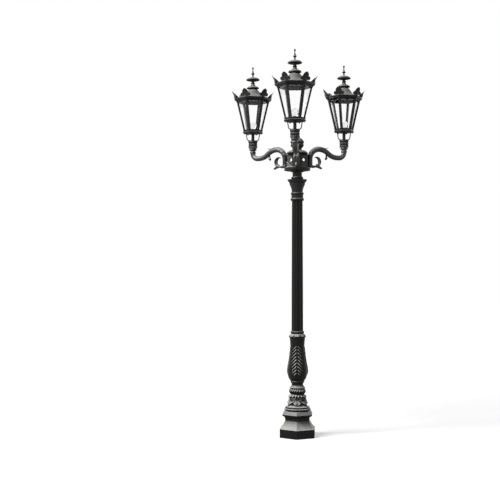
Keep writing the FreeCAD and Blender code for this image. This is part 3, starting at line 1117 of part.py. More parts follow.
def make_roof():
    """Roof casting: moulded six-sided rim, hollow dome above it and the middle hinge knuckle."""
    step = ROOF_RADIUS - ROOF_MOULDING
    rim = hex_stack([(ROOF_FOOT, step - ROOF_MOULDING), (ROOF_FOOT + 5.0, step),
                     (ROOF_FOOT + 12.0, step), (ROOF_FOOT + 15.0, ROOF_RADIUS),
                     (RIM_TOP - 4.0, ROOF_RADIUS), (RIM_TOP, ROOF_RADIUS - 4.0)])
    dome = turned([(0.0, RIM_TOP - 1.0), (DOME_RADIUS, RIM_TOP - 1.0), dome_curve(0.0), (0.0, DOME_TOP)])
    lug = HINGE_REACH - ROOF_RADIUS * COS30 + 14.0
    link = Part.makeBox(lug, HINGE_MIDDLE_LENGTH, HINGE_KNUCKLE_RADIUS - SEAT_GAP,
                        Vector(-HINGE_REACH, -HINGE_MIDDLE_LENGTH / 2, HINGE_LEVEL + SEAT_GAP))
    upstand = make_upstand()
    body = fused([rim, dome, knuckle(0.0, HINGE_MIDDLE_LENGTH), link]
                 + [turned_about(upstand, corner) for corner in HEX_CORNERS])
    hollow = turned([(0.0, RIM_TOP - ROOF_WALL), (DOME_RADIUS - 2 * ROOF_WALL, RIM_TOP - ROOF_WALL),
                     dome_curve(ROOF_WALL * 1.4), (0.0, DOME_TOP)])
    ceiling = Part.makeBox(400.0, 400.0, 60.0, Vector(-200.0, -200.0, DOME_TOP - ROOF_WALL))
    well = hex_stack([(ROOF_FOOT - 1.0, CROWN_WELL_RADIUS), (RIM_TOP - ROOF_WALL + 1.0, CROWN_WELL_RADIUS)])
    body = body.cut(hollow.cut(ceiling)).cut(well).cut(pin_bore())
    body = drilled(body, FINIAL_STUD_RADIUS + SEAT_GAP, DOME_TOP - 2 * ROOF_WALL, DOME_TOP + 1.0)
    return body.cut(Part.makeCylinder(SCREW_RADIUS + SCREW_HOLE_CLEARANCE, ROOF_RIM_HEIGHT + 2.0,
                                      Vector(latch_reach(), 0, ROOF_FOOT - 1.0)))


def palmette_reach():
    """Distance of a palmette's foot from the lantern's axis."""
    return ROOF_RADIUS - PALMETTE_INSET


def palmette_lean(level):
    """How far a palmette has curved outwards at a level above its foot."""
    return PALMETTE_LEAN * (level / PALMETTE_HEIGHT) ** 1.6


def palmette_outline():
    """Corners of the front view: a fan of pointed lobes over two volutes."""
    fan = [(0.0, 1.0), (0.22, 0.91), (0.28, 0.86), (0.5, 0.88), (0.65, 0.8), (0.65, 0.75), (0.85, 0.72),
           (0.95, 0.62), (0.88, 0.57), (1.0, 0.5), (0.95, 0.41), (0.8, 0.36), (0.9, 0.3)]
    volute = [(0.68, 0.33), (0.85, 0.31), (0.98, 0.2), (1.0, 0.09), (0.92, 0.0)]
    half = [(share * PALMETTE_FAN_WIDTH / 2, level * PALMETTE_HEIGHT) for share, level in fan]
    half += [(share * PALMETTE_BASE_WIDTH / 2, level * PALMETTE_HEIGHT) for share, level in volute]
    return half + [(-x, z) for x, z in reversed(half[1:])]


def make_palmette():
    """Upright leaning plate with the palmette's outline and a hole for its screw."""
    levels = [share * PALMETTE_HEIGHT for share in (0.0, 0.35, 0.7, 1.0)]
    inner = [(palmette_lean(level), level) for level in levels]
    outer = [(x + PALMETTE_THICKNESS, z) for x, z in inner]
    slab = flat_piece([inner, outer[::-1]], PALMETTE_BASE_WIDTH + 2.0)
    reach = PALMETTE_THICKNESS + PALMETTE_LEAN + 1.0
    front = Part.Face(across(palmette_outline())).extrude(Vector(reach, 0, 0))
    body = slab.common(front)
    body = body.cut(Part.makeCylinder(SCREW_RADIUS + SCREW_HOLE_CLEARANCE, reach,
                                      Vector(-1.0, 0, PALMETTE_SCREW_LEVEL), Vector(1, 0, 0)))
    body.translate(Vector(palmette_reach(), 0, RIM_TOP + SEAT_GAP))
    return body


def make_palmettes():
    """A palmette at each corner of the rim, as separate solids."""
    palmette = make_palmette()
    return Part.makeCompound([turned_about(palmette, corner) for corner in HEX_CORNERS])


def make_palmette_screw():
    """Round-headed screw that goes in from the front of a palmette."""
    seat = (palmette_reach() + PALMETTE_THICKNESS + SEAT_GAP
            + palmette_lean(PALMETTE_SCREW_LEVEL + SCREW_HEAD_RADIUS))
    level = RIM_TOP + SEAT_GAP + PALMETTE_SCREW_LEVEL
    head = Part.makeCylinder(SCREW_HEAD_RADIUS, SCREW_HEAD_HEIGHT, Vector(seat, 0, level), Vector(1, 0, 0))
    shank = Part.makeCylinder(SCREW_RADIUS, SCREW_LENGTH, Vector(seat, 0, level), Vector(-1, 0, 0))
    return head.fuse(shank).removeSplitter()


def make_roof_screws():
    """Round-headed screws of the palmettes and of the roof's latch, as separate solids."""
    seat = Vector(latch_reach(), 0, RIM_TOP + SEAT_GAP)
    head = Part.makeCylinder(SCREW_HEAD_RADIUS, SCREW_HEAD_HEIGHT, seat)
    shank = Part.makeCylinder(SCREW_RADIUS, ROOF_RIM_HEIGHT + LATCH_GRIP, seat, Vector(0, 0, -1))
    screw = make_palmette_screw()
    return Part.makeCompound([turned_about(screw, corner) for corner in HEX_CORNERS]
                             + [head.fuse(shank).removeSplitter()])


def make_cowl():
    """Vent cowl over the dome: collar, umbrella skirt, cone and knob."""
    skirt = COWL_FOOT + COWL_COLLAR_HEIGHT
    cone = skirt + COWL_EDGE + COWL_SKIRT_HEIGHT
    knob = cone + COWL_CONE_HEIGHT
    stalk = knob + COWL_KNOB_HEIGHT
    bore = FINIAL_STUD_RADIUS + SEAT_GAP
    return turned([(bore, COWL_FOOT), (DOME_TOP_RADIUS - 1.0, COWL_FOOT), (DOME_TOP_RADIUS - 1.0, skirt),
                   (COWL_RADIUS - 2.0, skirt), (COWL_RADIUS, skirt + COWL_EDGE),
                   [(COWL_RADIUS, skirt + COWL_EDGE), (0.5 * (COWL_RADIUS + COWL_NECK_RADIUS), cone - 3.0),
                    (COWL_NECK_RADIUS, cone)],
                   [(COWL_NECK_RADIUS, cone), (COWL_KNOB_RADIUS + 2.0, cone + 0.6 * COWL_CONE_HEIGHT),
                    (COWL_KNOB_RADIUS - 2.0, knob)],
                   [(COWL_KNOB_RADIUS - 2.0, knob), (COWL_KNOB_RADIUS, knob + 0.5 * COWL_KNOB_HEIGHT),
                    (COWL_KNOB_RADIUS - 3.0, stalk)],
                   (COWL_STALK_RADIUS, stalk), (COWL_STALK_RADIUS, COWL_TOP), (bore, COWL_TOP)])


def make_finial():
    """Saucer and spire in one turned piece, with the stud that draws the roof's pieces together."""
    rim = SAUCER_FOOT + SAUCER_BOWL_HEIGHT
    neck = rim + SAUCER_RISE
    knob = neck + SPIRE_NECK_HEIGHT
    spike = knob + SPIRE_KNOB_HEIGHT
    ball = spike + SPIKE_HEIGHT
    tip = ball + 2 * TIP_BALL_RADIUS
    stud_foot = DOME_TOP - ROOF_WALL - FINIAL_STUD_GRIP
    return turned([(0.0, stud_foot), (FINIAL_STUD_RADIUS, stud_foot), (FINIAL_STUD_RADIUS, SAUCER_FOOT),
                   (SAUCER_FOOT_RADIUS, SAUCER_FOOT),
                   [(SAUCER_FOOT_RADIUS, SAUCER_FOOT),
                    (0.7 * SAUCER_RADIUS, SAUCER_FOOT + 0.35 * SAUCER_BOWL_HEIGHT), (SAUCER_RADIUS, rim)],
                   [(SAUCER_RADIUS, rim), (0.45 * SAUCER_RADIUS, rim + 0.35 * SAUCER_RISE),
                    (SPIRE_NECK_RADIUS + 1.0, neck)],
                   (SPIRE_NECK_RADIUS, neck), (SPIRE_NECK_RADIUS, knob),
                   [(SPIRE_NECK_RADIUS, knob), (SPIRE_KNOB_RADIUS, knob + 0.5 * SPIRE_KNOB_HEIGHT),
                    (SPIKE_FOOT_RADIUS, spike)],
                   (SPIKE_TOP_RADIUS, ball),
                   [(SPIKE_TOP_RADIUS, ball), (TIP_BALL_RADIUS, ball + TIP_BALL_RADIUS), (3.0, tip)],
                   (0.0, tip + TIP_HEIGHT)])


def place_lantern(shape, name):
    """A lantern's piece, screwed round by its own turn and set on its arm."""
    placed = turned_about(shape, LANTERN_TURNS[name])
    placed.translate(Vector(ARM_REACH, 0, 0))
    return turned_about(placed, ARM_AZIMUTHS[name])


# ---- All the pieces ----------------------------------------------------------------------------
POST_PIECES = {
    "anchor_plate": make_anchor_plate,
    "core_pipe": make_core_pipe,
    "terminal_block": make_terminal_block,
    "plinth": make_plinth,
    "leaf_bell": make_bell,
    "rope_ring": make_rope_ring,
    "frond_vase": make_vase,
    "fluted_shaft": make_shaft,
    "capital": make_capital,
    "hub_dish": make_hub_dish,
    "hub_drum": make_hub_drum,
    "hub_nut": make_hub_nut,
    "hub_finial": make_hub_finial,
    "arm_screws": make_arm_screws,
}

LANTERN_PIECES = {
    "fitter": make_fitter,
    "cradle": make_cradle,
    "floor": make_floor,
    "bars": make_bars,
    "panes": make_panes,
    "crown": make_crown,
    "hinge_pin": make_hinge_pin,
    "lampholder": make_lampholder,
    "bulb": make_bulb,
    "roof": make_roof,
    "palmettes": make_palmettes,
    "roof_screws": make_roof_screws,
    "cowl": make_cowl,
    "finial": make_finial,
}


def main():
    """Build every piece once, place the repeated ones and write one file for each node."""
    os.makedirs("parts", exist_ok=True)
    shapes = {name: make() for name, make in POST_PIECES.items()}
    for side, azimuth in ARM_AZIMUTHS.items():
        shapes["arm_" + side] = make_arm(azimuth)
    for name, make in LANTERN_PIECES.items():
        piece = make()
        for side in ARM_AZIMUTHS:
            shapes[side + "_" + name] = place_lantern(piece, side)
    for name, shape in shapes.items():
        shape.exportStep("parts/" + name + ".step")
        print(name, len(shape.Solids), "solids", round(shape.Volume / 1000.0, 1), "cm3", shape.isValid())
    print(len(shapes), "nodes")


if __name__ == "__main__":
    main()
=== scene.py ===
"""Triple head lamp post, dressed: black powder-coated castings, clear panes and opal bulbs.

Each sub-assembly is a class that holds its sizes in millimetres, builds its meshes as surfaces of
two parameters worked out with numpy, and dresses them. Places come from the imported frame's boxes.
"""

import json
import logging
import math
from dataclasses import dataclass
from enum import Enum
from typing import Callable, Optional, Sequence

import bmesh
import bpy
import numpy as np
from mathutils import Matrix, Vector

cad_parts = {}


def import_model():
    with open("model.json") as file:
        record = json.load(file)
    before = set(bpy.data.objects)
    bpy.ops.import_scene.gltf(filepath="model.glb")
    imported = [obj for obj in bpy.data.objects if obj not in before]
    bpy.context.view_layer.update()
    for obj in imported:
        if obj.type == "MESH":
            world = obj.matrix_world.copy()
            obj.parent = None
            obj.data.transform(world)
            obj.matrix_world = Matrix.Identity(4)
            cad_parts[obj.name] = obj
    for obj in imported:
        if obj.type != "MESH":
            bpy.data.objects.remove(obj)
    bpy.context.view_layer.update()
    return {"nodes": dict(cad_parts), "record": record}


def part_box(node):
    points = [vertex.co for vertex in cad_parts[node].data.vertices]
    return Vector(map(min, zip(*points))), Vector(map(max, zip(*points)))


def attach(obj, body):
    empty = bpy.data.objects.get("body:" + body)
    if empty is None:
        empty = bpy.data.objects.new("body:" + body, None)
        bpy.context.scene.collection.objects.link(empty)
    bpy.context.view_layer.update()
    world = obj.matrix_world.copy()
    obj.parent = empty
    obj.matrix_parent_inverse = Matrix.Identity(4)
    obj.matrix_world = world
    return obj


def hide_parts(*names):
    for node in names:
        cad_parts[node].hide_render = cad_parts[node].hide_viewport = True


log = logging.getLogger("lamp_post")

SIDES = ("front", "right", "left")
ARM_AZIMUTH = {"front": -90.0, "right": 30.0, "left": 150.0}
LANTERN_TURN = {"front": 4.0, "right": 14.0, "left": 11.0}      # how far each one is screwed round
CRADLE_TURN = {"front": 0.0, "right": -120.0, "left": -60.0}    # of the rods, from the lantern's sides
ARM_REACH = 508.0               # millimetres, from the post's axis to a lantern's
MM = 0.001
PAINTED_LIGHT_TONE = "painted_light_tone"          # mesh attribute of painted light: -1 for painted shade in a hollow, 1 for painted highlight on a crest
WHITE = (1.0, 1.0, 1.0, 1.0)

Array = np.ndarray
Outline = tuple[tuple[float, ...], ...]
Relief = Callable[[Array, Array, Array], tuple[Array, Array]]

# The photograph's frame, in its own pixels
FRAME_SIDE = 500.0
FOCAL_PIXELS = 965.0
POST_COLUMN = 297.3
HORIZON_ROW = 265.0
SENSOR_MM = 36.0
EYE_HEIGHT = 1.604
EYE_DISTANCE = 9.07
EYE_AZIMUTH = 2.3


# ---- Materials ---------------------------------------------------------------------------------
class Tone(Enum):
    """Colours of the finishes, in linear light."""

    BLACK_PAINT = (0.0044, 0.0048, 0.0040)
    # painted highlight: pale grey laid on upward faces and crests where light from above would fall
    HIGHLIGHT_GREY = (0.395, 0.392, 0.376)
    ZINC = (0.42, 0.43, 0.44)
    OPAL = (0.90, 0.90, 0.87)
    IVORY = (0.72, 0.69, 0.60)


def rgba(tone: Tone) -> tuple[float, float, float, float]:
    """The tone with full alpha."""
    return (*tone.value, 1.0)


class NodeTree:
    """Short way to add and link nodes in a material or a group."""

    def __init__(self, tree: bpy.types.NodeTree) -> None:
        """Keep the tree that nodes go into."""
        self.tree = tree

    def add(self, kind: str, **inputs: object) -> bpy.types.Node:
        """Add a node and set its inputs.

        Args:
            kind: the node's class name.
            inputs: input values or sockets to link, by name with _ for a space.

        Returns:
            The new node.
        """
        node = self.tree.nodes.new(kind)
        for name, value in inputs.items():
            self.feed(value, node.inputs[name.replace("_", " ")])
        return node

    def feed(self, value: object, target: bpy.types.NodeSocket) -> None:
        """Link a socket to the target, or set a plain value on it.

        Args:
            value: a socket or a plain value.
            target: the input that takes it.
        """
        if isinstance(value, bpy.types.NodeSocket):
            self.tree.links.new(value, target)
        else:
            target.default_value = value

    def link(self, source: bpy.types.NodeSocket, target: bpy.types.NodeSocket) -> None:
        """Join two sockets."""
        self.tree.links.new(source, target)

    def math(self, operation: str, *values: object) -> bpy.types.NodeSocket:
        """Add a Math node on sockets or numbers, and give its result.

        Args:
            operation: what the node works out.
            values: its inputs, as sockets or numbers.

        Returns:
            The node's result.
        """
        node = self.add("ShaderNodeMath")
        node.operation = operation
        for value, target in zip(values, node.inputs):
            self.feed(value, target)
        return node.outputs["Value"]

    def remap(self, value: bpy.types.NodeSocket, start: Sequence[float] = (0.0, 1.0),
              end: Sequence[object] = (0.0, 1.0), curve: str = "LINEAR") -> bpy.types.NodeSocket:
        """Add a Map Range node.

        Args:
            value: the socket to map.
            start: range that the value comes in.
            end: range that it leaves in, as numbers or sockets.
            curve: how it goes from one end to the other.

        Returns:
            The mapped value.
        """
        node = self.add("ShaderNodeMapRange", Value=value, From_Min=start[0], From_Max=start[1],
                        To_Min=end[0], To_Max=end[1])
        node.interpolation_type = curve
        return node.outputs["Result"]


def principled(name: str, settings: dict[str, object]) -> tuple[
        bpy.types.Material, NodeTree, bpy.types.NodeInputs]:
    """Make a material whose shader has these plain settings.

    Args:
        name: the material's name.
        settings: values of the shader's sockets, by name.

    Returns:
        The material, its nodes and the shader's inputs.
    """
    material = bpy.data.materials.new(name)
    material.use_nodes = True
    inputs = material.node_tree.nodes["Principled BSDF"].inputs
    for socket, value in settings.items():
        inputs[socket].default_value = value
    return material, NodeTree(material.node_tree), inputs


def casting_skin_group() -> bpy.types.NodeTree:
    """Node group for the skin of a painted casting.

    Object position drives a fine orange-peel bump, a soft cloud of tone, and a pale painted highlight on what
    faces up, laid where light from above would fall. Crests get more of this painted highlight, and hollows
    and undersides less, as painted shade.

    Returns:
        The group, with Colour, Roughness and Normal outputs.
    """
    # painted highlight settings: how far crests lift it, the slopes that take it, and its random patches
    cloud_scale, peel_scale, peel_depth = 9.0, 420.0, 0.0006
    crest_lift, highlight_slopes, highlight_patches = 0.30, (0.14, 0.72), (0.72, 1.0)
    roughness_spread, under_slopes, under_roughness = (-0.05, 0.07), (-0.15, -0.7), 0.45
    group = bpy.data.node_groups.new("casting_skin", "ShaderNodeTree")
    face = group.interface
    for name, kind, value in (("Paint", "Color", rgba(Tone.BLACK_PAINT)), ("Painted Highlight", "Color", rgba(Tone.HIGHLIGHT_GREY)),
                              ("Painted Highlight Amount", "Float", 0.12), ("Roughness", "Float", 0.32),
                              ("Grain", "Float", 0.12), ("Relief", "Float", 0.0)):
        face.new_socket(name=name, in_out="INPUT", socket_type="NodeSocket" + kind).default_value = value
    for name, kind in (("Colour", "Color"), ("Roughness", "Float"), ("Normal", "Vector")):
        face.new_socket(name=name, in_out="OUTPUT", socket_type="NodeSocket" + kind)
    nodes = NodeTree(group)
    source = nodes.add("NodeGroupInput").outputs
    sink = nodes.add("NodeGroupOutput").inputs
    place = nodes.add("ShaderNodeTexCoord").outputs["Object"]
    cloud = nodes.add("ShaderNodeTexNoise", Vector=place, Scale=cloud_scale, Detail=4.0).outputs["Fac"]
    peel = nodes.add("ShaderNodeTexNoise", Vector=place, Scale=peel_scale, Detail=2.0).outputs["Fac"]
    normal = nodes.add("ShaderNodeNewGeometry").outputs["Normal"]
    facing = nodes.add("ShaderNodeSeparateXYZ", Vector=normal).outputs["Z"]
    # Painted highlight: the pale colour goes on faces that point up, and more on crests; hollows (open_sky)
    # and painted shadow lines keep the black paint as painted shade.
    raised = nodes.math("MULTIPLY_ADD", source["Relief"], crest_lift, facing)
    film = nodes.remap(raised, highlight_slopes, curve="SMOOTHSTEP")
    open_sky = nodes.remap(source["Relief"], (-1.0, 0.0))
    patches = nodes.remap(cloud, (0.25, 0.75), highlight_patches)
    for share in (open_sky, patches, source["Painted Highlight Amount"]):
        film = nodes.math("MULTIPLY", film, share)
    mix = nodes.add("ShaderNodeMix")
    mix.data_type = "RGBA"
    for value, name in ((film, "Factor"), (source["Paint"], "A"), (source["Painted Highlight"], "B")):
        nodes.link(value, mix.inputs[name])
    nodes.link(mix.outputs["Result"], sink["Colour"])
    cloudy = nodes.math("ADD", nodes.remap(cloud, end=roughness_spread), source["Roughness"])
    under = nodes.remap(facing, under_slopes, (0.0, under_roughness))
    nodes.link(nodes.math("ADD", cloudy, under), sink["Roughness"])
    skin = nodes.add("ShaderNodeBump", Height=peel, Distance=peel_depth, Strength=source["Grain"])
    nodes.link(skin.outputs["Normal"], sink["Normal"])
    return group


@dataclass(frozen=True)
class Finish:
    """A surface finish, made into a material once."""

    name: str
    tone: Tone
    roughness: float
    metallic: float = 0.0
    ior: float = 1.5
    gloss: float = 0.5
    # share of the painted highlight on upward faces
    painted_highlight: float = 0.0
    grain: float = 0.1

    def material(self, skin: bpy.types.NodeTree) -> bpy.types.Material:
        """Build the material around the shared skin group.

        Args:
            skin: the casting skin group.

        Returns:
            The new material.
        """
        material, nodes, shader = principled(self.name, {
            "Metallic": self.metallic, "IOR": self.ior, "Specular IOR Level": self.gloss})
        group = nodes.add("ShaderNodeGroup")
        group.node_tree = skin
        relief = nodes.add("ShaderNodeAttribute")
        relief.attribute_name = PAINTED_LIGHT_TONE
        for name, value in (("Relief", relief.outputs["Fac"]), ("Paint", rgba(self.tone)),
                            ("Painted Highlight", rgba(Tone.HIGHLIGHT_GREY)), ("Painted Highlight Amount", self.painted_highlight),
                            ("Roughness", self.roughness), ("Grain", self.grain)):
            nodes.feed(value, group.inputs[name])
        for name, target in (("Colour", "Base Color"), ("Roughness", "Roughness"), ("Normal", "Normal")):
            nodes.link(group.outputs[name], shader[target])
        return material


@dataclass(frozen=True)
class GlassFinish:
    """Clear or opal glass."""

    name: str
    colour: tuple[float, float, float, float]
    roughness: float
    transmission: float
    ior: float
    film_scale: float = 14.0
    film_spread: float = 0.006

    def material(self) -> bpy.types.Material:
        """Build the glass, with a faint film that roughens it in patches.

        Returns:
            The new material.
        """
        material, nodes, shader = principled(self.name, {
            "Base Color": self.colour, "Transmission Weight": self.transmission, "IOR": self.ior})
        place = nodes.add("ShaderNodeTexCoord").outputs["Object"]
        film = nodes.add("ShaderNodeTexNoise", Vector=place, Scale=self.film_scale, Detail=3.0).outputs["Fac"]
        spread = nodes.remap(film, end=(self.roughness, self.roughness + self.film_spread))
        nodes.link(spread, shader["Roughness"])
        return material


class Materials:
    """Every finish of the post, built once."""

    def __init__(self) -> None:
        """Make the materials."""
        skin = casting_skin_group()
        black = Tone.BLACK_PAINT
        # The three coats are one black paint, each with its own amount of painted highlight and its own gloss
        # and roughness.
        self.paint = Finish("black_powder_coat", black, 0.34, gloss=0.11, painted_highlight=0.9).material(skin)
        self.arm_paint = Finish("arm_powder_coat", black, 0.36, gloss=0.45, painted_highlight=0.42).material(skin)
        self.roof_paint = Finish("roof_powder_coat", black, 0.30, gloss=0.2, painted_highlight=0.40).material(skin)
        self.zinc = Finish("galvanised_steel", Tone.ZINC, 0.42, metallic=0.9).material(skin)
        self.screw = Finish("blackened_screw", black, 0.22, gloss=0.8).material(skin)
        self.ivory = Finish("ivory_moulding", Tone.IVORY, 0.35).material(skin)
        self.glass = GlassFinish("clear_pane", WHITE, 0.0, 1.0, 1.3).material()
        self.opal = GlassFinish("opal_globe", rgba(Tone.OPAL), 0.12, 0.95, 1.2).material()


def slot_material(slot: str, materials: Materials) -> bpy.types.Material:
    """The material that stands for one of the record's slots.

    Args:
        slot: name of the slot.
        materials: every finish of the post.

    Returns:
        Its finish.
    """
    return {"black_casting": materials.paint, "galvanised_steel": materials.zinc,
            "bright_steel": materials.screw, "block_plastic": materials.ivory,
            "lampholder_plastic": materials.ivory, "clear_glass": materials.glass,
            "opal_glass": materials.opal}[slot]


def dress_frame(frame: dict, materials: Materials) -> None:
    """Give every node of the frame its material, by the record's slots and its place on the post.

    Args:
        materials: every finish of the post.
    """
    for part in frame["record"]["subparts"]:
        node = frame["nodes"][part["node"]]
        finish = slot_material(part["material_slot"], materials)
        if finish is materials.paint and part["node"].startswith(SIDES + ("hub", "capital")):
            finish = materials.roof_paint
        node.data.materials.clear()
        node.data.materials.append(finish)
        log.info("dressed %s", part["node"])


# ---- Stage, light and camera -------------------------------------------------------------------
def backdrop_seen(nodes: NodeTree) -> bpy.types.NodeSocket:
    """1 for rays that show the backdrop: from the camera, in a reflection or through glass.

    Rays that have lit a dull surface on their way don't count, so that the lanterns stay dark inside.

    Args:
        nodes: the tree that takes the nodes.

    Returns:
        The output that holds it.
    """
    rays = nodes.add("ShaderNodeLightPath").outputs
    seen = rays["Is Camera Ray"]
    for name in ("Is Glossy Ray", "Is Transmission Ray"):
        seen = nodes.math("MAXIMUM", seen, rays[name])
    return nodes.math("MULTIPLY", seen, nodes.math("LESS_THAN", rays["Diffuse Depth"], 0.5))


@dataclass
class Studio:
    """Pale floor, soft light from above and the photograph's camera."""

    floor_half: float = 30.0
    floor_shade: float = 0.45
    near_glow: float = 0.55
    near_reach: float = 1.5
    far_reach: float = 9.0
    sky_strength: float = 0.15
    lamp_spot: tuple[float, float, float] = (-5.4, -4.8, 9.5)
    lamp_size: float = 5.0
    lamp_watts: float = 1500.0
    side_spot: tuple[float, float, float] = (-4.2, -2.0, 5.0)
    side_size: float = 1.6
    side_watts: float = 300.0
    aim_height: float = 1.8

    def floor(self) -> None:
        """A large pale floor under the post: white to the eye, but for the post's shadow."""
        half = self.floor_half
        mesh = bpy.data.meshes.new("studio_floor")
        mesh.from_pydata([(-half, -half, 0), (half, -half, 0), (half, half, 0), (-half, half, 0)], [],
                         [(0, 1, 2, 3)])
        floor = bpy.data.objects.new("studio_floor", mesh)
        bpy.context.scene.collection.objects.link(floor)
        shade = (self.floor_shade,) * 3 + (1.0,)
        material, nodes, shader = principled("studio_floor", {
            "Base Color": shade, "Roughness": 0.9, "Specular IOR Level": 0.0, "Emission Color": WHITE})
        away = nodes.add("ShaderNodeVectorMath")
        away.operation = "LENGTH"
        nodes.link(nodes.add("ShaderNodeTexCoord").outputs["Object"], away.inputs[0])
        glow = nodes.remap(away.outputs["Value"], (self.near_reach, self.far_reach), (self.near_glow, 1.0))
        nodes.link(nodes.remap(backdrop_seen(nodes), end=(0.0, glow)), shader["Emission Strength"])
        mesh.materials.append(material)

    def sky(self) -> None:
        """White to the eye, in reflections and through glass, and softer as a light."""
        world = bpy.data.worlds.new("studio_sky")
        world.use_nodes = True
        bpy.context.scene.world = world
        nodes = NodeTree(world.node_tree)
        shader = world.node_tree.nodes["Background"]
        strength = nodes.remap(backdrop_seen(nodes), end=(self.sky_strength, 1.0))
        nodes.link(strength, shader.inputs["Strength"])
        shader.inputs["Color"].default_value = WHITE

    def lamps(self) -> None:
        """A broad soft lamp overhead and a weaker one to the upper left."""
        for name, spot, size, watts in (
                ("soft_top", self.lamp_spot, self.lamp_size, self.lamp_watts),
                ("soft_left", self.side_spot, self.side_size, self.side_watts)):
            light = bpy.data.lights.new(name, "AREA")
            light.shape = "DISK"
            light.size = size
            light.energy = watts
            lamp = bpy.data.objects.new(name, light)
            lamp.location = spot
            aim = Vector((0.0, 0.0, self.aim_height)) - Vector(spot)
            lamp.rotation_euler = aim.to_track_quat("-Z", "Y").to_euler()
            bpy.context.scene.collection.objects.link(lamp)

    def camera(self) -> None:
        """Level eye at the photograph's place, turned so that the post stands in its column."""
        data = bpy.data.cameras.new("photo_camera")
        data.sensor_width = SENSOR_MM
        data.lens = FOCAL_PIXELS / FRAME_SIDE * SENSOR_MM
        camera = bpy.data.objects.new("photo_camera", data)
        bpy.context.scene.collection.objects.link(camera)
        azimuth = math.radians(EYE_AZIMUTH)
        camera.location = (EYE_DISTANCE * math.sin(azimuth), -EYE_DISTANCE * math.cos(azimuth), EYE_HEIGHT)
        yaw = math.atan((POST_COLUMN - FRAME_SIDE / 2) / FOCAL_PIXELS)
        pitch = math.atan((HORIZON_ROW - FRAME_SIDE / 2) / FOCAL_PIXELS)
        camera.rotation_euler = (math.pi / 2 + pitch, 0.0, azimuth + yaw)
        bpy.context.scene.camera = camera

    def build(self) -> None:
        """Set up the whole studio."""
        self.floor()
        self.sky()
        self.lamps()
        self.camera()
        bpy.context.scene.view_settings.view_transform = "Standard"


# ---- Surfaces worked out with numpy --------------------------------------------------------------
def grid_faces(rows: int, columns: int, wrap_rows: bool, wrap_columns: bool, start: int) -> Array:
    """Quads of a grid of points.

    Args:
        rows: points down the grid.
        columns: points across it.
        wrap_rows: whether the last row joins the first.
        wrap_columns: whether the last column joins the first.
        start: index of the grid's first point.

    Returns:
        One row of four indices for each quad.
    """
    row = np.arange(rows if wrap_rows else rows - 1)
    column = np.arange(columns if wrap_columns else columns - 1)
    i, j = np.meshgrid(row, column, indexing="ij")
    below, beside = (i + 1) % rows, (j + 1) % columns
    corners = (i * columns + j, i * columns + beside, below * columns + beside, below * columns + j)
    return start + np.stack(corners, axis=-1).reshape(-1, 4)


class Surface:
    """Points and faces of one piece, gathered patch by patch, in millimetres."""

    def __init__(self) -> None:
        """Start with nothing."""
        self.points: list[Array] = []
        self.tones: list[Array] = []
        self.faces: list[list[int]] = []
        self.count = 0

    def grid(self, points: Array, wrap_rows: bool = False, wrap_columns: bool = False,
             tone: Optional[Array] = None) -> "Surface":
        """Add a grid of points as quads.

        Args:
            points: array of rows, columns and three coordinates.
            wrap_rows: whether the last row joins the first.
            wrap_columns: whether the last column joins the first.
            tone: painted light of each point, from -1 for painted shade in a hollow to 1 for painted
                highlight on a crest.

        Returns:
            This surface.
        """
        rows, columns = points.shape[:2]
        self.faces += grid_faces(rows, columns, wrap_rows, wrap_columns, self.count).tolist()
        self.points.append(points.reshape(-1, 3))
        self.tones.append(np.zeros(rows * columns) if tone is None else np.clip(tone, -1, 1).reshape(-1))
        self.count += rows * columns
        return self

    def capped(self, points: Array, tone: Optional[Array] = None) -> "Surface":
        """Add a tube of closed rings, with a flat face at either end.

        Args:
            points: rings of the tube, one row for each.
            tone: painted light tone of each point.

        Returns:
            This surface.
        """
        rows, columns = points.shape[:2]
        first, last = self.count, self.count + (rows - 1) * columns
        self.grid(points, wrap_columns=True, tone=tone)
        self.faces.append(list(range(first, first + columns))[::-1])
        self.faces.append(list(range(last, last + columns)))
        return self

    def placed(self, move: Callable[[Array], Array]) -> "Surface":
        """Move every point gathered so far."""
        self.points = [move(points) for points in self.points]
        return self

    def piece(self, name: str, material: bpy.types.Material, body: str, replaced: Sequence[str] = (),
              crease: float = 38.0) -> bpy.types.Object:
        """Make the object, smooth but for its creases, and fix it to its body.

        Args:
            name: the object's name.
            material: its finish.
            body: the CAD body that it moves with.
            replaced: CAD nodes that it stands for.
            crease: angle in degrees above which an edge stays sharp.

        Returns:
            The new object.
        """
        mesh = bpy.data.meshes.new(name)
        mesh.from_pydata((np.concatenate(self.points) * MM).tolist(), [], self.faces)
        mesh.validate()
        work = bmesh.new()
        work.from_mesh(mesh)
        bmesh.ops.recalc_face_normals(work, faces=work.faces)
        work.to_mesh(mesh)
        work.free()
        mesh.shade_smooth()
        mesh.set_sharp_from_angle(angle=math.radians(crease))
        # painted highlight and shade of each point, read by the casting skin
        tones = mesh.attributes.new(PAINTED_LIGHT_TONE, "FLOAT", "POINT")
        tones.data.foreach_set("value", np.concatenate(self.tones).astype(np.float32))
        mesh.materials.append(material)
        shown = bpy.data.objects.new(name, mesh)
        bpy.context.scene.collection.objects.link(shown)
        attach(shown, body)
        if replaced:
            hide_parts(*replaced)
        log.info("%s: %d faces", name, len(self.faces))
        return shown

    def lantern_piece(self, name: str, material: bpy.types.Material, side: str, body: str,
                      replaced: Sequence[str] = ()) -> bpy.types.Object:
        """Set the surface on a lantern's axis and make it a piece of that lantern or its roof.

        Args:
            name: the object's name, without its side.
            material: its finish.
            side: which arm it stands on.
            body: lantern or roof.
            replaced: CAD nodes that it stands for, without their side.

        Returns:
            The new object.
        """
        self.placed(placed_at(ARM_AZIMUTH[side], ARM_REACH, LANTERN_TURN[side]))
        nodes = [f"{side}_{node}" for node in replaced]
        return self.piece(f"{side}_{name}", material, f"{body}_{side}", nodes)


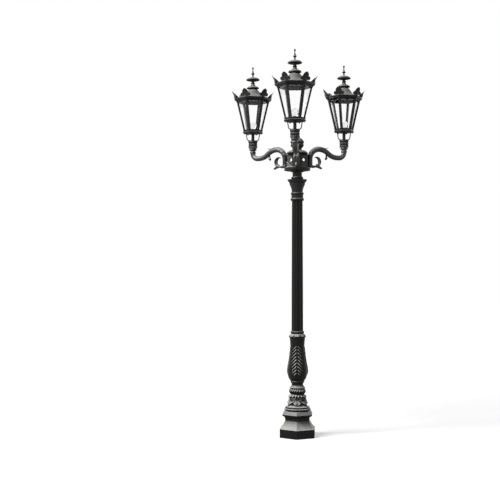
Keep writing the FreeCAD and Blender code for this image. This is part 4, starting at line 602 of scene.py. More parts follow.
def spline(knots: Array, count: int) -> Array:
    """Smooth curve through knots, evenly spread over them.

    Args:
        knots: array of knots and coordinates.
        count: number of points wanted.

    Returns:
        Array of count points.
    """
    knots = np.asarray(knots, float)
    padded = np.concatenate([2 * knots[:1] - knots[1:2], knots, 2 * knots[-1:] - knots[-2:-1]])
    at = np.linspace(0, len(knots) - 1 - 1e-9, count)
    index = at.astype(int)
    share = (at - index)[:, None]
    before, here, after, beyond = (padded[index + k] for k in range(4))
    return 0.5 * (2 * here + (after - before) * share
                  + (2 * before - 5 * here + 4 * after - beyond) * share ** 2
                  + (3 * here - before - 3 * after + beyond) * share ** 3)


def step(low: float, high: float, value: Array) -> Array:
    """Smooth rise from 0 at low to 1 at high."""
    share = np.clip((value - low) / (high - low), 0, 1)
    return share * share * (3 - 2 * share)


def bump(value: Array, width: float) -> Array:
    """Rounded ridge of height 1 about zero."""
    return np.exp(-(value / width) ** 2)


STRAIGHT_STEPS = 16            # rings on one straight run of a turned profile, at most


def profile_points(items: Sequence[object], pitch: float) -> Array:
    """Points along a profile of (radius, z).

    Args:
        items: a pair is a corner, and a list of pairs is a smooth run.
        pitch: distance between points, at most.

    Returns:
        Array of (radius, z).
    """
    out: list[Array] = []
    last: Optional[Array] = None
    for item in items:
        run = np.asarray(item if isinstance(item, list) else [item], float)
        if last is not None and np.linalg.norm(run[0] - last) > 1e-6:
            count = max(2, min(int(np.linalg.norm(run[0] - last) / pitch), STRAIGHT_STEPS) + 1)
            out.append(np.linspace(last, run[0], count)[1:])
        elif last is None:
            out.append(run[:1])
        if len(run) > 1:
            length = np.linalg.norm(np.diff(run, axis=0), axis=1).sum()
            out.append(spline(run, max(4, int(length / pitch) + 1))[1:])
        last = run[-1]
    return np.concatenate(out)


def lathe(items: Sequence[object], segments: int, pitch: float, relief: Relief) -> tuple[Array, Array]:
    """Rings of a turned piece, each point pushed outwards by a relief.

    Args:
        items: closed profile, as profile_points takes it.
        segments: points round each ring.
        pitch: distance between rings, at most.
        relief: height in millimetres and painted light tone, from (angle in radians from the front, z,
            radius).

    Returns:
        Array of rings, points and coordinates, and array of the points' painted light tones.
    """
    profile = profile_points(items, pitch)
    turn = np.linspace(0, 2 * np.pi, segments, endpoint=False)
    radius, angle = np.meshgrid(profile[:, 0], turn, indexing="ij")
    level = np.repeat(profile[:, 1:2], segments, axis=1)
    height, tone = relief(angle, level, radius)
    radius = radius + height
    return np.stack([radius * np.sin(angle), -radius * np.cos(angle), level], axis=-1), tone


def plain_turning(angle: Array, level: Array, radius: Array) -> tuple[Array, Array]:
    """No relief and no painted light."""
    return 0 * radius, 0 * radius


def turned(items: Sequence[object], segments: int, pitch: float, relief: Relief = plain_turning) -> Surface:
    """Surface of a turned ring, whose profile closes from its last point to its first."""
    points, tone = lathe(items, segments, pitch, relief)
    return Surface().grid(points, wrap_rows=True, wrap_columns=True, tone=tone)


def nearest_spoke(angle: Array, count: int, first: float = 0.0) -> Array:
    """Angle from the nearest of equal spokes, in radians."""
    pitch = 2 * np.pi / count
    return (angle - first + pitch / 2) % pitch - pitch / 2


def placed_at(azimuth: float, reach: float = 0.0, own_turn: float = 0.0) -> Callable[[Array], Array]:
    """Mover that turns a piece by its own turn, sets it out along +X and turns it to an azimuth.

    Args:
        azimuth: direction of the arm, in degrees.
        reach: distance from the post's axis.
        own_turn: degrees that the piece turns about its own axis.

    Returns:
        The function that moves an array of points.
    """
    def move(points: Array) -> Array:
        """Turn, set out and turn again."""
        out = points @ rotation(own_turn).T + np.array([reach, 0.0, 0.0])
        return out @ rotation(azimuth).T
    return move


def rotation(degrees: float) -> Array:
    """Matrix of a turn about Z.

    Args:
        degrees: angle of the turn.

    Returns:
        Three by three matrix.
    """
    angle = math.radians(degrees)
    cos, sin = math.cos(angle), math.sin(angle)
    return np.array([[cos, -sin, 0], [sin, cos, 0], [0, 0, 1]])


# ---- Column ornament -------------------------------------------------------------------------------
@dataclass(frozen=True)
class LeafBell:
    """Bell on its stepped flange, with tongues between broad leaves under a row of curling lobes."""

    foot: float
    skirt: float
    top: float
    pairs: int = 3
    relief_height: float = 9.0
    tongue: Outline = (
        (0.19, 0.0), (0.205, 11.0), (0.235, 20.0), (0.29, 28.0), (0.37, 31.5), (0.45, 29.0), (0.53, 22.0),
        (0.62, 15.0), (0.70, 12.0), (0.78, 11.0), (0.88, 10.0))
    broad: Outline = (
        (0.07, 0.0), (0.11, 5.0), (0.19, 13.0), (0.28, 24.0), (0.35, 35.0), (0.43, 47.0), (0.50, 57.0),
        (0.55, 63.0), (0.60, 64.0), (0.66, 63.0), (0.74, 66.0), (0.82, 70.0), (0.9, 72.0))
    lobes: Outline = ((9.6, 6.2), (31.0, 8.0), (60.0, 17.0))      # degrees: from the spoke, half width
    shadow_drop: float = 0.115      # drop of the painted shadow line under a leaf's edge, as a share
    segments: int = 480
    pitch: float = 1.1

    def leaf(self, share: Array, across: Array, outline: Sequence[tuple[float, float]], reach: float,
             eyes: Sequence[tuple[float, float, float]]) -> tuple[Array, Array, Array]:
        """Height, painted light tone and painted shadow line of one kind of leaf, thickest at its hanging
        edge.

        Args:
            share: place up the bell, 0 at the skirt.
            across: distance from its midrib.
            outline: half width at each share.
            reach: share at which the leaf runs out into the ground.
            eyes: hollows in the leaf, painted dark as shade, as (share, across, radius).

        Returns:
            Height as a part of the relief, painted highlight and shade tone, and darkness of the painted
            shadow line under its edge.
        """
        table = np.array(outline)
        edge = np.interp(share, table[:, 0], table[:, 1])
        inset = edge - across
        body = step(0.0, 2.0, inset) * step(table[0, 0] - 0.005, table[0, 0] + 0.012, share)
        swell = 1.15 - 0.95 * step(table[0, 0] + 0.04, reach, share)
        # Painted shadow: a dark line just below the leaf's hanging edge, where its shade falls on the bell.
        lower = share + self.shadow_drop
        above = np.interp(lower, table[:, 0], table[:, 1]) - across
        shadow = step(0.0, 2.0, above) * (lower > table[0, 0] + 0.008) * (1 - body)
        rim = 0.22 * bump(inset - 4.0, 2.6)
        midrib = 0.14 * bump(across, 2.0) - 0.10 * bump(across - 4.5, 2.0)
        hollow = np.clip(sum(bump(np.hypot((share - s) * 100.0, across - a), r) for s, a, r in eyes), 0, 1)
        height = body * (swell + rim + midrib) * (1 - hollow)
        # Painted highlight on the leaf's body and rim, painted shade along beside the midrib and in the eyes.
        tone = body * (0.75 + rim + midrib - 0.9 * bump(across - 2.5, 2.6))
        tone = tone * (1 - 0.9 * step(reach - 0.12, reach, share)) - 2.0 * hollow
        return height, tone, shadow

    def crown(self, angle: Array, level: Array) -> tuple[Array, Array]:
        """Height and painted light tone of the row of lobes that curls out under the bell's top: painted
        highlight on the lobes, painted shade between them.

        Args:
            angle: angle of each point, in radians from the front.
            level: height of each point.

        Returns:
            Share of the relief's height and painted light tone of each point.
        """
        share = (level - self.top + 29.0) / 30.0
        off = np.abs(nearest_spoke(angle, self.pairs))
        lobe = np.zeros_like(off)
        for spot, half in self.lobes:
            away = (off - math.radians(spot)) / math.radians(half)
            lobe = np.maximum(lobe, np.clip(1 - away ** 2, 0, 1))
        lobe = np.sqrt(lobe) * step(-0.05, 0.32, share + 0.25 * (lobe - 1.0)) * (1 - step(0.42, 1.0, share))
        row = step(-0.02, 0.2, share) * (1 - step(0.9, 1.05, share))
        return 1.35 * lobe, row * (2.0 * lobe - 1.0)

    def relief(self, angle: Array, level: Array, radius: Array) -> tuple[Array, Array]:
        """Height and painted light tone of the leaves over the bell's side: painted highlight on leaves,
        veins and lobes, painted shadow lines under the leaves' edges and painted shade in the eyes.

        Args:
            angle: angle of each point, in radians from the front.
            level: height of each point.
            radius: distance of each point from the axis, before the relief.

        Returns:
            Height in millimetres and painted light tone of each point.
        """
        share = (level - self.skirt + 6.0) / 100.0
        inside = step(-0.02, 0.0, share) * (1 - step(1.06, 1.10, share))
        half_turn = math.pi / self.pairs
        front = np.abs(nearest_spoke(angle, self.pairs)) * radius
        beside = np.abs(nearest_spoke(angle, self.pairs, half_turn)) * radius
        broad, broad_tone, broad_line = self.leaf(share, beside, self.broad, 0.66, ((0.48, 35.0, 4.6),))
        tongue, tongue_tone, tongue_line = self.leaf(share, front, self.tongue, 0.68, ())
        over = tongue > 0.06
        height = np.where(over, tongue + 0.2, broad)
        tone = np.where(over, tongue_tone, broad_tone)
        line = np.clip(tongue_line * ~over + broad_line * (broad < 0.06) * ~over, 0, 1)
        # Veins: low ridges with painted highlight stripes and painted shade between them.
        stroke = np.cos((share * 100.0 + 1.25 * front) * 2 * np.pi / 13.0)
        zone = step(0.50, 0.58, share) * (1 - step(0.78, 0.86, share)) * step(7.0, 11.0, front)
        height = height + 0.26 * stroke * zone
        tone = tone + zone * (1.1 * stroke - 0.3)
        lobes, lobe_tone = self.crown(angle, level)
        height = np.maximum(height, lobes)
        tone = np.where(share > 0.78, lobe_tone, tone)
        # The bare skirt gets a little less painted highlight, and the painted shadow lines go dark.
        bare = (height < 0.05) & (share < 0.4)
        return inside * self.relief_height * height, inside * (tone - 2.0 * line - 0.1 * bare)

    def build(self, material: bpy.types.Material) -> None:
        """Make the piece.

        Args:
            material: finish of the piece.
        """
        f, s, t = self.foot, self.skirt, self.top
        profile = [(31.0, f), (112.0, f), (112.0, f + 9.5),
                   [(113.0, f + 10.2), (121.0, f + 12.0), (124.0, f + 17.5), (121.0, f + 23.0),
                    (114.5, f + 24.8)],
                   (114.0, f + 38.0), (112.5, f + 40.0),
                   [(112.5, f + 40.0), (99.0, f + 44.5), (87.0, s + 7.0)],
                   [(87.0, s + 7.0), (81.5, s + 54.0), (73.0, t - 14.0)],
                   [(73.0, t - 14.0), (69.0, t - 5.0), (62.0, t)], (31.0, t)]
        surface = turned(profile, self.segments, self.pitch, self.relief)
        surface.piece("bell_casting", material, "post", ["leaf_bell"])


@dataclass(frozen=True)
class RopeRing:
    """Bowl-shaped ring of slanting gadroons under a cyma, neck and bead."""

    foot: float
    top: float
    strands: int = 20
    height: float = 58.0
    slant: float = 0.36             # radians that a strand turns on its way up
    depth: float = 9.0
    segments: int = 480
    pitch: float = 1.1

    def relief(self, angle: Array, level: Array, radius: Array) -> tuple[Array, Array]:
        """Depth of the hollows between the strands, with painted shade in them and painted highlight on the
        strands' crests.

        Args:
            angle: angle of each point, in radians from the front.
            level: height of each point.
            radius: distance of each point from the axis, before the relief; not used here.

        Returns:
            Height in millimetres and painted light tone of each point.
        """
        share = (level - self.foot) / self.height
        lean = nearest_spoke(angle - self.slant * (share - 0.5), self.strands)
        width = math.pi / self.strands
        strand = np.sqrt(np.clip(1 - (lean / (0.76 * width)) ** 2, 0, 1))
        inside = step(0.02, 0.14, share) * (1 - step(0.93, 0.99, share))
        # painted highlight on the upper part of each strand, painted shade in the hollows and a touch of it
        # on the cyma
        crest = strand * bump(share - 0.70, 0.24)
        cyma = -0.22 * (share > 1.02)
        hollow = 1 - strand
        return -inside * self.depth * hollow, inside * (2.2 * crest - 2.0 * hollow - 0.6) + cyma

    def build(self, material: bpy.types.Material) -> None:
        """Make the piece.

        Args:
            material: finish of the piece.
        """
        f, t = self.foot, self.top
        profile = [(31.0, f), (62.0, f), [(62.0, f), (70.5, f + 10.0), (77.0, f + 21.0), (78.9, f + 30.0),
                                          (76.0, f + 42.0), (69.0, f + 52.0), (66.0, f + 57.0)],
                   (74.0, f + 58.0), (75.0, f + 63.0), [(74.0, f + 65.0), (65.0, f + 72.0), (58.0, f + 83.0)],
                   (54.5, f + 84.0), (54.5, f + 103.0), [(60.0, f + 108.0), (66.0, f + 118.0), (62.0, t)],
                   (31.0, t)]
        surface = turned(profile, self.segments, self.pitch, self.relief)
        surface.piece("gadroon_ring", material, "post", ["rope_ring"])


@dataclass(frozen=True)
class FrondVase:
    """Baluster with three fern fronds in relief, a scalloped lip and the shaft's collar."""

    foot: float
    lip: float
    top: float
    fronds: int = 3
    frond_low: float = 64.0
    frond_length: float = 259.0
    leaflet_pitch: float = 31.0
    relief_height: float = 9.0
    lobes: int = 16
    lobe_depth: float = 6.0
    lip_height: float = 28.0
    reaches: Outline = (
        (-0.2, 8.0), (0.0, 22.0), (0.12, 36.0), (0.25, 50.0), (0.4, 57.0), (0.6, 59.0), (0.8, 55.0),
        (0.95, 48.0), (1.1, 42.0), (1.2, 34.0))
    segments: int = 288             # a multiple of the lobes and of the fronds
    pitch: float = 1.7

    def relief(self, angle: Array, level: Array, radius: Array) -> tuple[Array, Array]:
        """Height and painted light tone of the fronds and the lip's scallops: painted highlight on leaflets
        and stems, painted shade around the fronds and in the scallops.

        Args:
            angle: angle of each point, in radians from the front.
            level: height of each point.
            radius: distance of each point from the axis, before the relief.

        Returns:
            Height in millimetres and painted light tone of each point.
        """
        across = np.abs(nearest_spoke(angle, self.fronds)) * radius
        height = level - self.foot - self.frond_low
        root = height + 0.85 * across + 0.003 * across ** 2
        share = root / self.frond_length
        table = np.array(self.reaches)
        reach = np.interp(share, table[:, 0], table[:, 1])
        ratio = np.clip(across / np.maximum(reach, 1.0), 0, 1)
        phase = (root / self.leaflet_pitch) % 1.0
        fullness = 0.40 * np.sqrt(np.clip(1 - ratio ** 3.0, 0, 1)) + 0.05
        middle = np.abs(phase - 0.5) / (0.5 * fullness)
        leaflet = np.sqrt(np.clip(1 - middle ** 2, 0, 1))
        inside = step(0.0, 2.0, reach - across) * step(-0.02, 0.0, share) * (1 - step(1.0, 1.04, share))
        stem = bump(across, 3.4) * step(-4.0, 10.0, height) * (1 - step(205.0, 235.0, height))
        leaflets = leaflet * inside * step(5.0, 8.5, across) * (0.62 + 0.38 * ratio)
        frond = np.maximum(leaflets, 0.55 * stem)
        scallops = self.scallops(angle, level)
        patch = step(-3.0, 6.0, reach - across) * step(-0.04, 0.02, share) * (1 - step(1.0, 1.06, share))
        side = np.sign(np.sin(self.fronds * angle))
        lively = 0.80 + 0.20 * np.sin(np.floor(root / self.leaflet_pitch) * 2.4 + 0.9 * side)
        # Painted highlight on the leaflets, varied leaflet by leaflet, painted shade on the ground between
        # them and slightly in the scallops.
        tone = 2.4 * lively * leaflets + 0.5 * stem - 1.0 * patch * (frond < 0.25) + 0.16 * scallops
        return self.relief_height * frond + scallops, tone

    def scallops(self, angle: Array, level: Array) -> Array:
        """Hollows of the lip's lobes.

        Args:
            angle: angle of each point, in radians from the front.
            level: height of each point.

        Returns:
            Height of each point, 0 or less.
        """
        top = self.lip + self.lip_height
        inside = step(self.lip - 0.5, self.lip + 1.5, level) * (1 - step(self.lip + 6.0, top - 4.0, level))
        lobe = np.abs(np.cos(nearest_spoke(angle, self.lobes // 2) * self.lobes / 4.0))
        return -inside * self.lobe_depth * (1 - lobe ** 0.6)

    def build(self, material: bpy.types.Material) -> None:
        """Make the piece.

        Args:
            material: finish of the piece.
        """
        f, p, t = self.foot, self.lip, self.top
        lip_top, neck_top = p + self.lip_height, t - 18.0
        side = [(66.0, f), (79.0, f + 19.0), (86.0, f + 37.0), (92.0, f + 58.0), (94.0, f + 84.0),
                (92.5, f + 108.0), (87.0, f + 142.0), (79.5, f + 182.0), (73.0, f + 226.0), (69.0, f + 268.0),
                (67.0, f + 320.0), (68.5, f + 352.0), (71.5, f + 382.0), (75.0, p)]
        profile = [(31.0, f), side, (80.0, p), (82.0, p + 2.0), (82.0, p + 6.0),
                   [(81.0, p + 7.5), (74.5, p + 16.0), (67.0, lip_top - 1.0)],
                   (59.0, lip_top), (59.0, neck_top), [(62.5, neck_top), (65.5, t - 9.0), (62.5, t)],
                   (55.8, t), (55.8, t - 13.5), (31.0, t - 13.5)]
        surface = turned(profile, self.segments, self.pitch, self.relief)
        surface.piece("frond_baluster", material, "post", ["frond_vase"], crease=50.0)


# ---- Arms ------------------------------------------------------------------------------------------
def sweep(path: Array, sizes: Array, section: Callable[[Array, Array], tuple[Array, Array]],
          points: int) -> Array:
    """Rings of a bar that follows a path in the XZ plane.

    Args:
        path: array of (x, z).
        sizes: array with one row of sizes for each path point.
        section: from (angle, sizes) to the offsets (away from the path in its plane, across it).
        points: points round each ring.

    Returns:
        Array of rings, points and coordinates.
    """
    heading = np.gradient(path, axis=0)
    heading /= np.linalg.norm(heading, axis=1)[:, None]
    normal = np.stack([-heading[:, 1], heading[:, 0]], axis=1)
    angle = np.linspace(0, 2 * np.pi, points, endpoint=False)[None, :]
    out, across = section(angle, sizes)
    x = path[:, 0:1] + normal[:, 0:1] * out
    z = path[:, 1:2] + normal[:, 1:2] * out
    return np.stack([x, across + 0 * x, z], axis=-1)


def oval(angle: Array, sizes: Array) -> tuple[Array, Array]:
    """Section of half-thickness and half-width."""
    return sizes[:, 0:1] * np.cos(angle), sizes[:, 1:2] * np.sin(angle)


def grooved_box(angle: Array, sizes: Array) -> tuple[Array, Array]:
    """Rounded block of half-thickness and half-width, with a groove along its outer face.

    Args:
        angle: angle round the section, in radians.
        sizes: sizes of the section at each point of the path.

    Returns:
        Offsets away from the path in its plane, and across it.
    """
    cos, sin = np.cos(angle), np.sin(angle)
    across = sizes[:, 1:2] * np.sign(sin) * np.abs(sin) ** 0.6
    out = sizes[:, 0:1] * np.sign(cos) * np.abs(cos) ** 0.5
    groove = 0.3 * sizes[:, 0:1] * bump(across / np.maximum(sizes[:, 1:2], 0.1), 0.28)
    return out - np.sign(cos) * np.where(cos < 0, groove, 0.3 * groove), across


@dataclass(frozen=True)
class Arm:
    """Cast arm: ribbed tube, hump leaf, C-scroll with its sprig, web, berry and stem rings.

    It lies in its own XZ plane, with x from the post's axis.
    """

    reach: float = ARM_REACH
    tube: float = 24.0
    bend: float = 58.0
    bend_level: float = 2631.1
    hump_reach: float = 235.0
    hump_level: float = 2702.1
    root_reach: float = 136.0
    root_lift: float = 20.0
    web_foot: float = 2519.1
    web_top: float = 2648.8
    web_inner: float = 40.0
    web_half: float = 5.5
    border_rise: float = 7.0
    hole: tuple[float, float, float] = (68.0, 78.0, 14.5)      # reach, height over the web's foot, radius
    rib_feet: tuple[float, ...] = (66.0, 84.0, 102.0)
    rib_slope: float = 1.25
    valley_run: float = 20.0
    stem_top: float = 2689.1
    leaf_run: tuple[float, float] = (62.0, 300.0)               # along the tube from the root
    leaf_lobes: float = 7.0
    leaf_thickness: float = 3.2
    leaf_outline: Outline = (
        (0.0, 0.62), (0.2, 0.95), (0.5, 1.0), (0.75, 0.74), (0.92, 0.55), (0.98, 0.34), (1.0, 0.12))
    scroll_band: Outline = (                                    # x, z, half thickness, half width
        (122, 2541, 12, 23), (150, 2537, 12, 25), (178, 2535, 11, 26.5), (204, 2541, 10, 26.5),
        (226, 2553, 9, 26.5), (238, 2574, 8, 26), (237, 2599, 7.5, 25), (223, 2619, 6.5, 23),
        (205, 2627, 5, 19), (192, 2625, 3, 12), (187, 2619, 1, 6))
    sprig_bar: Outline = (
        (200, 2546, 17, 10), (222, 2539, 15, 12), (240, 2531, 12, 12), (255, 2523, 10, 10),
        (267, 2516, 1.5, 2))
    drop_reach: float = 313.0
    drop_hook: float = 7.0
    drop_profile: Outline = (                                   # radius, z
        (8.5, 2652.0), (7.5, 2642.0), (8.5, 2634.0), (12.0, 2625.0), (13.0, 2617.0), (10.5, 2609.0),
        (5.0, 2604.5), (0.6, 2603.5))

    def centre_line(self) -> Array:
        """Centre line from the stem's top to the root, as (x, z): arcs joined by straight runs.

        Returns:
            Array of (x, z).
        """
        bend_x = self.reach - self.bend
        valley_x = bend_x - self.valley_run
        rise, run = self.hump_level - self.bend_level, valley_x - self.hump_reach
        swing = 2 * math.atan2(rise, run)
        radius = run / (2 * math.sin(swing))
        swing = math.degrees(swing)
        drop = self.hump_reach - self.root_reach
        root = self.root_reach

        def arc(x: float, z: float, r: float, start: float, end: float) -> Array:
            """Points of an arc, from its centre, radius and two angles in degrees."""
            turn = np.radians(np.linspace(start, end, int(abs(end - start) / 2.5) + 2))
            return np.stack([x + r * np.cos(turn), z + r * np.sin(turn)], axis=1)

        return np.concatenate([
            arc(bend_x, self.stem_top, self.bend, 0, -90)[:-1],
            np.linspace((bend_x, self.bend_level), (valley_x, self.bend_level), 4)[:-1],
            arc(valley_x, self.bend_level + radius, radius, -90, -90 - swing)[:-1],
            arc(self.hump_reach, self.hump_level - radius, radius, 90 - swing, 90)[:-1],
            arc(self.hump_reach, self.hump_level - drop, drop, 90, 180)[:-1],
            np.linspace((root, self.hump_level - drop), (root, self.web_foot + self.root_lift), 12)])

    def ribbed(self, angle: Array, sizes: Array) -> tuple[Array, Array]:
        """Tube section with a bead and groove along either side.

        Args:
            angle: angle round the section, in radians.
            sizes: sizes of the section at each point of the path.

        Returns:
            Offsets away from the path in its plane, and across it.
        """
        side = np.abs(np.sin(angle))
        groove = bump(np.cos(angle) + 0.32, 0.16) * (side > 0.5) - 0.5 * bump(np.cos(angle) + 0.02, 0.16)
        radius = sizes[:, 0:1] * (1 - 0.085 * groove)
        return radius * np.cos(angle), radius * np.sin(angle)

    def add_tube(self, surface: Surface) -> None:
        """The ribbed tube."""
        path = self.centre_line()
        surface.capped(sweep(path, np.full((len(path), 1), self.tube), self.ribbed, 72))

    def add_scroll(self, surface: Surface) -> None:
        """C-scroll: a broad thin band that curls round and tapers to a tip, with a pointed sprig.

        Args:
            surface: the surface that takes the points.
        """
        for knots, count, section, points in ((self.scroll_band, 90, grooved_box, 56),
                                              (self.sprig_bar, 30, oval, 24)):
            curve = spline(np.array(knots, float), count)
            surface.capped(sweep(curve[:, :2], curve[:, 2:], section, points))

    def add_leaf(self, surface: Surface) -> None:
        """Acanthus leaf laid over the hump, with lobed sides, veins and a tip that curls up.

        Args:
            surface: the surface that takes the points.
        """
        path = self.centre_line()[::-1]
        length = np.concatenate([[0], np.cumsum(np.linalg.norm(np.diff(path, axis=0), axis=1))])
        along = np.linspace(0.0, 1.0, 150)
        start, end = self.leaf_run
        spot = start + along * (end - start)
        line = np.stack([np.interp(spot, length, path[:, k]) for k in range(2)], axis=1)
        heading = np.gradient(line, axis=0)
        heading /= np.linalg.norm(heading, axis=1)[:, None]
        normal = np.stack([-heading[:, 1], heading[:, 0]], axis=1)
        across = np.linspace(-1, 1, 61)[None, :]
        aside = np.abs(across)
        table = np.array(self.leaf_outline)
        wide = np.interp(along, table[:, 0], table[:, 1])
        lobes = 0.80 + 0.20 * np.abs(np.sin((along * self.leaf_lobes + 0.15) * np.pi)) ** 0.6
        turn = (1.55 * wide * lobes)[:, None] * across
        veins = np.cos((along[:, None] * self.leaf_lobes - 0.35 * aside) * 2 * np.pi)
        lift = 3.0 + 1.6 * bump(across, 0.1) + 1.3 * veins * aside + 2.2 * aside ** 4
        lift = lift + (15.0 * step(0.88, 1.0, along) ** 1.3 + 2.0 * bump(along - 0.97, 0.05))[:, None]
        shells = []
        for depth in (0.0, self.leaf_thickness):
            radius = self.tube + lift - depth
            out, side = radius * np.cos(turn), radius * np.sin(turn)
            shells.append(np.stack([line[:, 0:1] + normal[:, 0:1] * out, side,
                                    line[:, 1:2] + normal[:, 1:2] * out], axis=-1))
        surface.capped(np.concatenate([shells[0], shells[1][:, ::-1]], axis=1))

    def add_web(self, surface: Surface) -> None:
        """Plate from the hub to the root, pierced by a round hole with a ring and leaf ribs.

        Its points lie on rays from the hole's edge out to the plate's, with the relief across them.

        Args:
            surface: the surface that takes the points.
        """
        hole_x, hole_rise, hole = self.hole
        hole_z = self.web_foot + hole_rise
        turn = np.linspace(0, 2 * np.pi, 144, endpoint=False)
        cos, sin = np.cos(turn), np.sin(turn)
        reach_x = np.where(cos > 0, (self.root_reach - hole_x) / np.maximum(cos, 1e-6),
                           (self.web_inner - hole_x) / np.minimum(cos, -1e-6))
        reach_z = np.where(sin > 0, (self.web_top - hole_z) / np.maximum(sin, 1e-6),
                           (self.web_foot - hole_z) / np.minimum(sin, -1e-6))
        reach = np.minimum(reach_x, reach_z)
        share = np.linspace(0, 1, 40)[:, None] ** 1.3
        radius = hole + share * (reach - hole)[None, :]
        x, z = hole_x + radius * cos, hole_z + radius * sin
        rise = z - self.web_foot
        relief = 4.5 * bump(radius - hole - 5.5, 3.2)
        clear = step(8.0, 20.0, radius - hole) * (1 - step(50.0, 62.0, rise))
        for foot in self.rib_feet:
            relief = relief + 4.0 * bump((x - foot) * self.rib_slope - rise, 5.0) * clear
        border = step(0.72, 0.88, share) * (radius > hole + 12.0)
        edge = self.web_half + self.border_rise * border - 2.0 * step(0.95, 1.0, share)
        faces = [np.stack([x, side * (edge + relief), z], axis=-1) for side in (1, -1)]
        # painted highlight on the whole web, stronger on the ring and ribs, in step with their height
        tone = np.clip(0.35 + 0.25 * relief, 0, 1)
        surface.grid(np.concatenate([faces[0], faces[1][::-1]]), wrap_rows=True, wrap_columns=True,
                     tone=np.concatenate([tone, tone[::-1]]))

    def add_drop(self, surface: Surface) -> None:
        """Hooked drop on a thick stalk, under the tube.

        Args:
            surface: the surface that takes the points.
        """
        profile = spline(np.array(self.drop_profile), 34)
        angle = np.linspace(0, 2 * np.pi, 28, endpoint=False)[None, :]
        radius, level = profile[:, 0:1], profile[:, 1:2]
        hook = self.drop_reach - self.drop_hook * step(2628.0, 2603.0, level)
        surface.capped(np.stack([hook + radius * np.cos(angle), radius * np.sin(angle), level + 0 * angle],
                                axis=-1))

    def add_stem(self, surface: Surface) -> None:
        """Rings and necks that step up to the fitter.

        Args:
            surface: the surface that takes the points.
        """
        top = self.stem_top
        items = [(1.0, top - 3.0), (26.0, top - 3.0),
                 [(27.0, top - 2.0), (29.5, top + 5.0), (27.0, top + 12.5)],
                 (24.0, top + 13.5), (24.0, top + 24.5), (33.0, top + 25.5),
                 [(34.5, top + 26.0), (37.0, top + 33.0), (34.5, top + 40.5)],
                 (32.0, top + 41.5), (32.0, top + 48.0), (1.0, top + 48.0)]
        rings, tone = lathe(items, 64, 2.5, plain_turning)
        surface.capped(rings + np.array([self.reach, 0.0, 0.0]), tone)

    def build(self, side: str, material: bpy.types.Material) -> None:
        """Make one arm at its azimuth.

        Args:
            side: which arm it stands on.
            material: finish of the piece.
        """
        surface = Surface()
        for add in (self.add_tube, self.add_scroll, self.add_leaf, self.add_web, self.add_drop,
                    self.add_stem):
            add(surface)
        surface.placed(placed_at(ARM_AZIMUTH[side]))
        surface.piece(f"{side}_arm_casting", material, "post", [f"arm_{side}"])


# ---- Fitters, cradles and finials --------------------------------------------------------------------
@dataclass(frozen=True)
class Fitter:
    """Reeded socket in two tiers between rings, with the lead tube and its flared head above."""

    foot: float
    seat: float
    top: float
    reeds: int = 18
    reed_depth: float = 3.2

    def relief(self, angle: Array, level: Array, radius: Array) -> tuple[Array, Array]:
        """Hollows between the reeds of both tiers, with painted highlight on the reeds and painted shade in
        the hollows.

        Args:
            angle: angle of each point, in radians from the front.
            level: height of each point.
            radius: distance of each point from the axis, before the relief.

        Returns:
            Height in millimetres and painted light tone of each point.
        """
        rise = level - self.foot
        tier = step(9.5, 12.0, rise) * (1 - step(27.0, 29.5, rise)) \
            + step(38.0, 40.5, rise) * (1 - step(49.0, 51.5, rise))
        hollow = 1 - np.abs(np.cos(nearest_spoke(angle, self.reeds) * self.reeds / 2.0)) ** 0.7
        outer = radius > 30.0
        return -self.reed_depth * tier * hollow * outer, tier * outer * (0.9 - 1.9 * hollow)

    def build(self, side: str, material: bpy.types.Material) -> None:
        """Make the fitter of one lantern.

        Args:
            side: which arm it stands on.
            material: finish of the piece.
        """
        f, s, t = self.foot, self.seat, self.top
        profile = [(6.0, f), (44.0, f), [(44.0, f), (46.0, f + 3.5), (44.0, f + 7.0)], (41.5, f + 8.0),
                   (42.0, f + 30.0), [(43.0, f + 31.0), (45.0, f + 33.5), (43.0, f + 36.5)], (41.5, f + 37.0),
                   (42.0, f + 52.0), [(44.0, f + 53.5), (46.0, f + 57.5), (44.0, s - 1.5)],
                   (15.0, s - 1.0), (15.0, t - 14.0),
                   [(15.0, t - 14.0), (19.0, t - 5.6), (35.0, t)], (6.0, t)]
        surface = turned(profile, 12 * self.reeds, 1.6, self.relief)
        surface.lantern_piece("reeded_fitter", material, side, "lantern", ["fitter"])


@dataclass(frozen=True)
class Finial:
    """Domed saucer and spire, with the stud that goes down into the roof."""

    stud: float
    saucer: float

    def build(self, side: str, material: bpy.types.Material) -> None:
        """Make the finial of one lantern.

        Args:
            side: which arm it stands on.
            material: finish of the piece.
        """
        s = self.saucer
        profile = [(0.5, self.stud), (5.0, self.stud), (5.0, s), (17.0, s),
                   [(17.0, s), (36.0, s + 3.0), (56.0, s + 8.0), (64.5, s + 12.0)],
                   [(64.5, s + 12.0), (66.0, s + 15.0), (64.5, s + 18.0)],
                   [(64.5, s + 18.0), (58.0, s + 26.0), (45.0, s + 33.5), (28.0, s + 38.5), (14.0, s + 41.0)],
                   [(14.0, s + 41.0), (9.0, s + 43.5), (7.0, s + 47.0)], (7.0, s + 62.0),
                   [(7.5, s + 63.0), (17.0, s + 73.0), (14.0, s + 80.0), (9.5, s + 84.0)], (10.5, s + 87.0),
                   [(8.5, s + 88.0), (5.0, s + 104.0), (4.0, s + 119.0)],
                   [(4.0, s + 119.0), (8.5, s + 123.5), (9.5, s + 129.0), (7.0, s + 135.0), (3.0, s + 139.0)],
                   (0.5, s + 145.0)]
        surface = Surface().capped(*lathe(profile, 96, 1.6, plain_turning))
        surface.lantern_piece("domed_finial", material, side, "roof", ["finial"])


